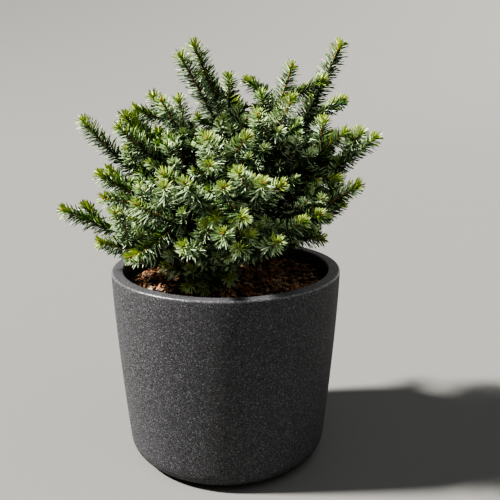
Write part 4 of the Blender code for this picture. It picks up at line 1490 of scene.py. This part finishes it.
# A needle's corners are left, right and keel of two sections, then the tip; its green faces come first
NEEDLE_FACES = ((0, 2, 1, -1), (0, 1, 4, 3), (3, 4, 6, -1),
                (1, 2, 5, 4), (4, 5, 6, -1), (2, 0, 3, 5), (5, 3, 6, -1))
PALE_FACES = (0, 0, 0, 1, 1, 1, 1)


class AgeAndLight(IntEnum):
    """How old a needle looks, which settles its two colours; the oldest tint is also painted shade deep in
    the crown and in the brush, and the fresh and young tints are also painted light on the tops of shoots.
    """

    OLD_SHADED = 0
    GROWN = 1
    FRESH = 2
    YOUNG = 3


@dataclass(frozen=True)
class NeedleTints:
    """Colours of one age's glossy green upper side and waxy paler underside; the oldest pair is also painted
    shade, and the younger ones also painted light.
    """

    upper: PlainFinish
    under: PlainFinish


@dataclass(frozen=True)
class AgeAndLightRule:
    """What makes a needle young: its depth in the crown, counted from the start over the span, which keeps
    needles deep inside old and dark, as painted shade; a plain share; the nearness of the tip, with its fall;
    its lie on top of the shoot, down to the lie below, which lightens those on top, as painted light, and
    darkens those below, as painted shade; and chance. Then the least youth of young, fresh and grown ones."""

    outside_start: float = 0.42
    outside_span: float = 0.26
    plain: float = 0.30
    tip: float = 0.75
    tip_fall: float = 0.014
    above: float = 0.42
    below: float = -0.5
    chance: float = 0.18
    limits: tuple[float, float, float] = (0.92, 0.54, 0.16)


@dataclass(frozen=True)
class Brush:
    """Where the needles of a mass stand, a row each: foot, the shoot's unit run and the unit direction out of
    it, distance to the shoot's tip, whether on a twig, depth in the crown, and whether short and dark as
    painted shade."""

    foot: np.ndarray
    run: np.ndarray
    out: np.ndarray
    free: np.ndarray
    fine: np.ndarray
    depth: np.ndarray
    short: np.ndarray


@dataclass
class Foliage:
    """The needles, twigs and buds of every mass."""

    skeleton: Skeleton
    # Needles a metre of shoot and of twig, the fewest on one, those in the tuft at its tip, and how far their
    # steps (in shares) and turns (in degrees) stray
    per_metre: float = 3080.0
    twig_per_metre: float = 2300.0
    fewest: int = 6
    tuft: int = 12
    tuft_depth: float = 0.004
    step_stray: Range = (0.1, 0.9)
    turn_stray: float = 10.0
    # Shares of short needles, dark as painted shade, that fill the brush, their length, and how many fewer
    # steep shoots have
    short_shares: dict[Kind, float] = field(default_factory=lambda: {
        Kind.STEM: 0.42, Kind.FORK: 0.45, Kind.SIDE: 0.54, Kind.TWIG: 0.59})
    short_length: float = 0.66
    steep_clearing: float = 0.25
    # A needle's size, and how it shortens at a tip and on twigs
    needle_length: float = 0.0212
    length_stray: Range = (0.84, 1.08)
    twig_length: float = 0.84
    tip_short: float = 0.26
    short_stretch: float = 0.011
    needle_width: float = 0.00183
    width_stray: Range = (0.9, 1.1)
    needle_depth: float = 0.00078
    # Where a needle's two sections are, as shares of its length, with their shares of its width
    sections: tuple[Range, Range] = ((0.0, 0.80), (0.82, 1.0))
    # How far its end is bent aside, and where its middle is tried for room, as shares of its length
    bends: Range = (0.02, 0.12)
    middle: float = 0.55
    # How a needle turns about its own run, in degrees, and how much its pale side hangs down
    twist: float = -38.0
    twist_stray: float = 28.0
    steep_untwist: float = 0.4
    hang: float = 0.25
    # How much farther out the needles of stems and forks count, so that less of the painted shade of the
    # crown's inside falls on them
    free_lift: float = 0.20
    # How far a needle leans from square to its shoot towards the tip, in degrees, and how much it rises
    lean: float = 23.0
    lean_stray: float = 7.0
    steep_spread: float = 10.0
    upper_lean: float = 27.0
    tip_lean: float = 68.0
    tip_stretch: float = 0.008
    uplift: float = 0.09
    # The rise of a shoot's unit run where it begins to be steep, and over which it gets fully so
    steep_start: float = 0.50
    steep_span: float = 0.30
    # What needles keep clear of: bark, bed, rim, outer wall and inner wall
    bark_clear: float = 0.0003
    bed_clear: float = 0.002
    rim_clear: float = 0.0008
    outer_clear: float = 0.001
    inner_clear: float = 0.002
    # Bare twigs: the length of a step, at least how many, their taper, and the share below which bark is old
    twig_step: float = 0.009
    fewest_steps: int = 4
    twig_taper: float = 1.5
    old_share: float = 0.62
    twig_sides: int = 5
    # Buds: shares of the radius, where the first and last of those are, and the size of those on finer shoots
    swelling: tuple[float, float, float] = (0.6, 1.0, 0.7)
    bud_span: Range = (-0.1, 0.8)
    bud_sides: int = 5
    small_bud: float = 0.72
    bud_length: float = 0.0066
    bud_radius: float = 0.0019
    age_and_light_rule: AgeAndLightRule = AgeAndLightRule()
    # The oldest tint, near black, is painted shade deep in the crown and among each brush's short needles;
    # the fresh and young tints are also painted light on the tops of shoots
    tints: dict[AgeAndLight, NeedleTints] = field(default_factory=lambda: {
        AgeAndLight.OLD_SHADED: NeedleTints(PlainFinish("needle_old_shaded_upper", (0.006, 0.026, 0.006), 0.38),
                             PlainFinish("needle_old_shaded_under", (0.060, 0.110, 0.048), 0.48)),
        AgeAndLight.GROWN: NeedleTints(PlainFinish("needle_grown_upper", (0.030, 0.092, 0.017), 0.34),
                               PlainFinish("needle_grown_under", (0.560, 0.720, 0.465), 0.36)),
        AgeAndLight.FRESH: NeedleTints(PlainFinish("needle_fresh_upper", (0.115, 0.205, 0.020), 0.38),
                               PlainFinish("needle_fresh_under", (0.430, 0.580, 0.270), 0.38)),
        AgeAndLight.YOUNG: NeedleTints(PlainFinish("needle_young_upper", (0.270, 0.330, 0.030), 0.42),
                               PlainFinish("needle_young_under", (0.430, 0.550, 0.150), 0.42))})
    twig_finish: PlainFinish = PlainFinish("young_twig", (0.440, 0.215, 0.070), 0.70)
    wood_finish: PlainFinish = PlainFinish("older_twig", (0.150, 0.080, 0.042), 0.80)
    bud_finish: PlainFinish = PlainFinish("bud_scales", (0.360, 0.125, 0.045), 0.55)

    def needles_of(self, shoots: list[Shoot], draw: np.random.Generator) -> Shell:
        """All needles of a mass.

        A needle leaves its shoot at its own golden turn, leans towards the tip, bends a little further that
        way, and is twisted, always the same way round. On a steep shoot it stands out more and is twisted
        less; on top of a level one it lies flatter forward, so that its green side shows above and its pale
        one below. Its section is a triangle: a flat green upper side, and a keel below between pale bands.

        Args:
            shoots: The mass's shoots.
            draw: The source of the draws.

        Returns:
            The needles as one surface, two material slots for each age.
        """
        at = self.places(shoots, draw)
        count = len(at.foot)
        steep = self.steepness(at.run)
        near_tip = np.exp(-(at.free / self.tip_stretch) ** 2) * draw.uniform(0.0, 1.0, count)
        above = np.clip(at.out[:, 2], 0, 1) * (1 - steep)
        usual = self.lean - self.steep_spread * steep + self.upper_lean * above
        lean = np.radians(usual + (self.tip_lean - usual) * near_tip + draw.normal(0, self.lean_stray, count))
        leaning = at.out * np.cos(lean)[:, None] + at.run * np.sin(lean)[:, None]
        heading = unit(leaning + [0.0, 0.0, self.uplift])
        length = self.needle_length * draw.uniform(*self.length_stray, count)
        length *= 1 - self.tip_short * np.exp(-(at.free / self.short_stretch) ** 2)
        length *= np.where(at.fine, self.twig_length, 1.0) * np.where(at.short, self.short_length, 1.0)
        width = self.needle_width * draw.uniform(*self.width_stray, count)
        inner = unit(at.run - heading * np.sum(at.run * heading, axis=1, keepdims=True))
        down = np.array([0.0, 0.0, -1.0]) + heading * heading[:, 2:3]
        under = unit(inner + down * self.hang)
        across = unit(np.cross(heading, under))
        twist = draw.normal(self.twist, self.twist_stray, count) * (1 - self.steep_untwist * steep)
        turn = np.radians(twist)[:, None]
        under, across = (under * np.cos(turn) + across * np.sin(turn),
                         across * np.cos(turn) - under * np.sin(turn))
        bend = inner * (length * draw.uniform(*self.bends, count))[:, None]
        reach = heading * length[:, None]
        keep = self.has_room(at.foot + reach + bend) & self.has_room(at.foot + reach * self.middle)
        points = self.needle_points(at.foot, reach, across * (width / 2)[:, None], under, bend)
        # Short needles take the darkest tint, as painted shade deep in the brush
        ages = np.where(at.short, AgeAndLight.OLD_SHADED, self.ages(at, draw))
        return self.needle_shell(points[keep], ages[keep])

    def places(self, shoots: list[Shoot], draw: np.random.Generator) -> Brush:
        """Where the needles of a mass stand: evenly along every shoot, with a tuft at its tip.

        Args:
            shoots: The mass's shoots.
            draw: The source of the draws.

        Returns:
            The needles' places.
        """
        rows = []
        for shoot in shoots:
            length = shoot.length()
            clad = length - shoot.bare
            density = self.twig_per_metre if shoot.kind is Kind.TWIG else self.per_metre
            even = max(int(clad * density), self.fewest)
            spread = (np.arange(even) + draw.uniform(*self.step_stray, even)) / even * clad
            tuft = length - draw.uniform(0, self.tuft_depth, self.tuft)
            along = np.concatenate([shoot.bare + spread, tuft])
            count = len(along)
            measured = distances_along(shoot.line)
            run, side, top = (
                np.stack([np.interp(along, measured, part[:, axis]) for axis in range(3)], axis=1)
                for part in frames_along(shoot.line))
            stray = draw.normal(0, self.turn_stray, count)
            turns = np.radians(np.arange(count) * GOLDEN_TURN + stray + draw.uniform(0, 360))
            out = side * np.cos(turns)[:, None] + top * np.sin(turns)[:, None]
            fine = np.full(count, shoot.kind is Kind.TWIG)
            depth = shoot.depths[0] + (shoot.depths[1] - shoot.depths[0]) * along / length
            if shoot.kind in (Kind.STEM, Kind.FORK):
                depth = depth + self.free_lift
            # Short needles fill the brush and are dark, as painted shade; steep shoots get fewer of them
            share = self.short_shares[shoot.kind] * (1 - self.steep_clearing * self.steepness(unit(run)))
            short = (draw.random(count) < share) & (length - along > self.tip_stretch)
            foot = points_along(shoot.line, along)
            rows.append((foot, unit(run), unit(out), length - along, fine, depth, short))
        return Brush(*(np.concatenate(column) for column in zip(*rows)))

    def steepness(self, run: np.ndarray) -> np.ndarray:
        """How steep a shoot runs: 0 up to 30 degrees above level, 1 from 53 degrees on."""
        return np.clip((run[:, 2] - self.steep_start) / self.steep_span, 0, 1)

    def has_room(self, points: np.ndarray) -> np.ndarray:
        """Which points lie clear of the limbs, the bed and the planter's wall.

        Args:
            points: The points.

        Returns:
            True for each point that does.
        """
        mulch, planter = self.skeleton.mulch, self.skeleton.mulch.planter
        thinned = slice(None, None, self.skeleton.spot_thinning)
        away = np.linalg.norm(points[:, None] - self.skeleton.limb_spots[thinned], axis=2)
        clear = np.all(away > self.skeleton.limb_radii[thinned] + self.bark_clear, axis=1)
        over_bed = points[:, 2] > mulch.bed_height(points[:, 0], points[:, 1]) + self.bed_clear
        radial = np.hypot(points[:, 0], points[:, 1])
        over_rim = points[:, 2] > planter.height + self.rim_clear
        outside = radial > planter.radius + self.outer_clear
        inside = radial < planter.radius - planter.wall - self.inner_clear
        return clear & (over_rim | outside | (inside & over_bed))

    def needle_points(self, foot: np.ndarray, reach: np.ndarray, half: np.ndarray, under: np.ndarray,
                      bend: np.ndarray) -> np.ndarray:
        """Three points at each section of a needle, whose middle is foot + reach u + bend u^2, and the tip.

        Args:
            foot: Where each needle leaves its shoot.
            reach: From there to its end, before bending.
            half: Half its width across.
            under: Unit direction of its keel.
            bend: How far its end is bent aside.

        Returns:
            Points as an array of needle by corner by coordinate.
        """
        keel = under * self.needle_depth
        rows = []
        for u, share in self.sections:
            middle = foot + reach * u + bend * u * u
            rows += [middle - half * share, middle + half * share, middle + keel * share]
        rows.append(foot + reach + bend)
        return np.stack(rows, axis=1)

    def ages(self, at: Brush, draw: np.random.Generator) -> np.ndarray:
        """How old each needle looks: younger towards the tip; younger and lighter on top of its shoot, as
        painted light, and older and darker below it, as painted shade; and younger at the crown's outside,
        while those deep inside stay old and dark, as painted shade.

        Args:
            at: The needles' places.
            draw: The source of the draws.

        Returns:
            Each needle's tint, set by its age and by the painted light and shade.
        """
        rule = self.age_and_light_rule
        # Needles deep in the crown stay old and dark as painted shade; those on top of a shoot are lifted
        # towards the light tints as painted light, and those below are lowered as painted shade
        outside = np.clip((at.depth - rule.outside_start) / rule.outside_span, 0, 1)
        youth_and_light = outside * (rule.plain + np.exp(-at.free / rule.tip_fall) * rule.tip
                           + rule.above * np.clip(at.out[:, 2], rule.below, 1))
        youth_and_light += draw.normal(0, rule.chance, len(youth_and_light))
        return np.select([youth_and_light > limit for limit in rule.limits], [AgeAndLight.YOUNG, AgeAndLight.FRESH, AgeAndLight.GROWN], AgeAndLight.OLD_SHADED)

    def needle_shell(self, points: np.ndarray, ages: np.ndarray) -> Shell:
        """Faces of every needle.

        Args:
            points: The needles' corners.
            ages: Their ages.

        Returns:
            The needles as one surface, each age's green slot followed by its pale one.
        """
        template = np.array(NEEDLE_FACES)
        starts = (np.arange(len(points)) * NEEDLE_CORNERS)[:, None, None]
        faces = np.where(template[None] < 0, -1, template[None] + starts).reshape(-1, 4)
        slots = (ages[:, None] * 2 + np.array(PALE_FACES)[None]).ravel()
        return Shell(points.reshape(-1, 3), faces, slots)

    def twigs_of(self, shoots: list[Shoot]) -> Shell:
        """The bare twigs: rounds whose radius is last + (first - last) (1 - share)^taper.

        Args:
            shoots: The shoots.

        Returns:
            One surface, with older bark on the lower part of stems and forks.
        """
        made = []
        for shoot in shoots:
            share = np.linspace(0, 1, max(int(shoot.length() / self.twig_step), self.fewest_steps))
            line = points_along(shoot.line, share * shoot.length())
            first, last = shoot.radii
            radii = last + (first - last) * (1 - share) ** self.twig_taper
            slot = 0 if shoot.kind in (Kind.TWIG, Kind.SIDE) else 1
            tube = carried_round(line, radii, self.twig_sides, slot)
            if slot:
                heights = np.repeat(share[:-1], self.twig_sides)
                tube.slots[:len(heights)] = np.where(heights > self.old_share, 0, 1)
            made.append(tube)
        return Shell.joined(made)

    def buds_of(self, shoots: list[Shoot]) -> Shell:
        """A bud on every tip: a round that swells, then runs to a point.

        Args:
            shoots: The shoots.

        Returns:
            One surface.
        """
        made = []
        swelling = np.array(self.swelling)
        for shoot in shoots:
            tangent = unit(shoot.line[-1] - shoot.line[-3])
            big = 1.0 if shoot.kind in (Kind.STEM, Kind.FORK) else self.small_bud
            steps = np.linspace(*self.bud_span, len(swelling))[:, None] * self.bud_length * big
            line = shoot.line[-1] + steps * tangent
            egg = carried_round(line, swelling * self.bud_radius * big, self.bud_sides)
            egg.points[-1] = shoot.line[-1] + tangent * self.bud_length * big
            made.append(egg)
        return Shell.joined(made)

    def build(self) -> int:
        """Build every mass's needles and twigs in its node's stead, and all buds as one piece.

        Returns:
            How many triangles they have in all.
        """
        finishes = [finish for tint in self.tints.values() for finish in (tint.upper, tint.under)]
        needle_materials = [finish.material() for finish in finishes]
        twig_materials = [self.twig_finish.material(), self.wood_finish.material()]
        total, buds = 0, []
        for owner, mass in enumerate(MASSES):
            shoots = self.skeleton.shoots[mass.name]
            draw = np.random.default_rng(SEED * NEEDLE_DRAWS + owner)
            needles = self.needles_of(shoots, draw)
            new_piece(mass.name + "_needles", needles, needle_materials, (mass.name,),
                      smooth=False)
            twigs = self.twigs_of(shoots)
            new_piece(mass.name + "_twigs", twigs, twig_materials, (mass.name,))
            buds.append(self.buds_of(shoots))
            total += needles.triangles() + twigs.triangles()
        joined = Shell.joined(buds)
        new_piece("buds", joined, [self.bud_finish.material()])
        return total + joined.triangles()


# Studio

@dataclass
class Studio:
    """A plain pale sweep, a key light from the upper left, a fill, and the camera at the photo's angle."""

    camera_place: Point = (0.0379, -1.0664, 0.6072)
    camera_target: Point = (0.0379, 0.0, 0.3334)
    lens: float = 50.0
    sensor: float = 36.0
    lit_place: Point = (0.0, 0.0, 0.36)
    key_from: Point = (-1.98, -0.16, 2.34)
    key_softness: float = 6.0
    key_strength: float = 10.4
    key_colour: Colour = (1.0, 0.96, 0.90)
    fill_from: Point = (0.80, -0.55, 3.00)
    fill_softness: float = 60.0
    fill_strength: float = 0.70
    fill_colour: Colour = (0.94, 0.97, 1.0)
    world_colour: Colour = (0.93, 0.96, 1.0)
    world_strength: float = 0.012
    view_transform: str = "AgX"
    look: str = "AgX - High Contrast"
    floor_colour: Colour = (0.205, 0.205, 0.200)
    floor_roughness: float = 0.9
    floor_shine: float = 0.2
    floor_radius: float = 5.0
    rise_radius: float = 14.0
    wall_height: float = 14.5
    # Steps of the floor's profile and of its turn
    floor_steps: int = 5
    rise_steps: int = 12
    segments: int = 96

    def aim(self, thing: bpy.types.Object, target: Point) -> None:
        """Turn a camera or lamp towards a point."""
        thing.rotation_euler = (Vector(target) - thing.location).to_track_quat("-Z", "Y").to_euler()

    def add_camera(self) -> None:
        """Add the camera and make it the scene's."""
        data = bpy.data.cameras.new("camera")
        data.lens, data.sensor_width = self.lens, self.sensor
        camera = bpy.data.objects.new("camera", data)
        bpy.context.scene.collection.objects.link(camera)
        camera.location = self.camera_place
        self.aim(camera, self.camera_target)
        bpy.context.scene.camera = camera

    def add_lamp(self, name: str, place: Point, softness: float, strength: float, colour: Colour) -> None:
        """Add a lamp so far off that its light is even.

        Args:
            name: Its name.
            place: Where its light comes from.
            softness: The angle in degrees over which its light is spread.
            strength: Its strength.
            colour: Its colour.
        """
        data = bpy.data.lights.new(name, "SUN")
        data.angle, data.energy, data.color = math.radians(softness), strength, colour
        lamp = bpy.data.objects.new(name, data)
        bpy.context.scene.collection.objects.link(lamp)
        lamp.location = place
        self.aim(lamp, self.lit_place)

    def add_sweep(self) -> None:
        """The floor: a disc that rises to a wall all round, by a quarter circle far from the plant."""
        count = self.floor_steps + 1
        flat = np.stack([np.linspace(0, self.floor_radius, count), np.zeros(count)], axis=1)
        turns = np.linspace(-math.pi / 2, 0, self.rise_steps + 1)[1:]
        rise = self.rise_radius * np.stack([np.cos(turns), 1 + np.sin(turns)], axis=1)
        rise += [self.floor_radius, 0]
        top = [[self.floor_radius + self.rise_radius, self.wall_height]]
        rings = turned_rings(np.concatenate([flat, rise, top])[1:], self.segments)
        shell = closed_tube(rings[::-1], np.array([0.0, 0.0, self.wall_height]), np.zeros(3))
        # The fan that would close the top is left out
        shell.faces = shell.faces[np.all(shell.faces != len(rings) * self.segments, axis=1)]
        mesh = bpy.data.meshes.new("studio_floor")
        faces = [[corner for corner in face if corner >= 0] for face in shell.faces.tolist()]
        mesh.from_pydata(shell.points.tolist(), [], faces)
        mesh.shade_smooth()
        paper = PlainFinish("studio_paper", self.floor_colour, self.floor_roughness, self.floor_shine)
        mesh.materials.append(paper.material())
        floor = bpy.data.objects.new("studio_floor", mesh)
        bpy.context.scene.collection.objects.link(floor)
        floor.visible_shadow = False

    def build(self) -> None:
        """Build the studio."""
        scene = bpy.context.scene
        world = bpy.data.worlds.new("studio_light")
        world.use_nodes = True
        background = world.node_tree.nodes["Background"]
        background.inputs["Color"].default_value = (*self.world_colour, 1.0)
        background.inputs["Strength"].default_value = self.world_strength
        scene.world = world
        self.add_camera()
        self.add_lamp("key_light", self.key_from, self.key_softness, self.key_strength, self.key_colour)
        self.add_lamp("fill_light", self.fill_from, self.fill_softness, self.fill_strength, self.fill_colour)
        self.add_sweep()
        scene.view_settings.view_transform = self.view_transform
        scene.view_settings.look = self.look


def main() -> None:
    """Build and dress the planter, the mulch, the limbs, the foliage and the studio, in that order."""
    logging.basicConfig(level=logging.INFO, format="%(message)s")
    effects = Effects()
    planter = Planter()
    planter.build(effects)
    mulch = Mulch(planter)
    mulch.build_bed(effects)
    mulch.build_chips(effects)
    skeleton = Skeleton(mulch)
    skeleton.lay_out()
    skeleton.grow_twigs()
    timber = Timber(skeleton)
    timber.build_trunk(effects)
    timber.build_boughs(effects)
    triangles = Foliage(skeleton).build()
    LOG.info("foliage: %d triangles", triangles)
    Studio().build()


if __name__ == "__main__":
    main()
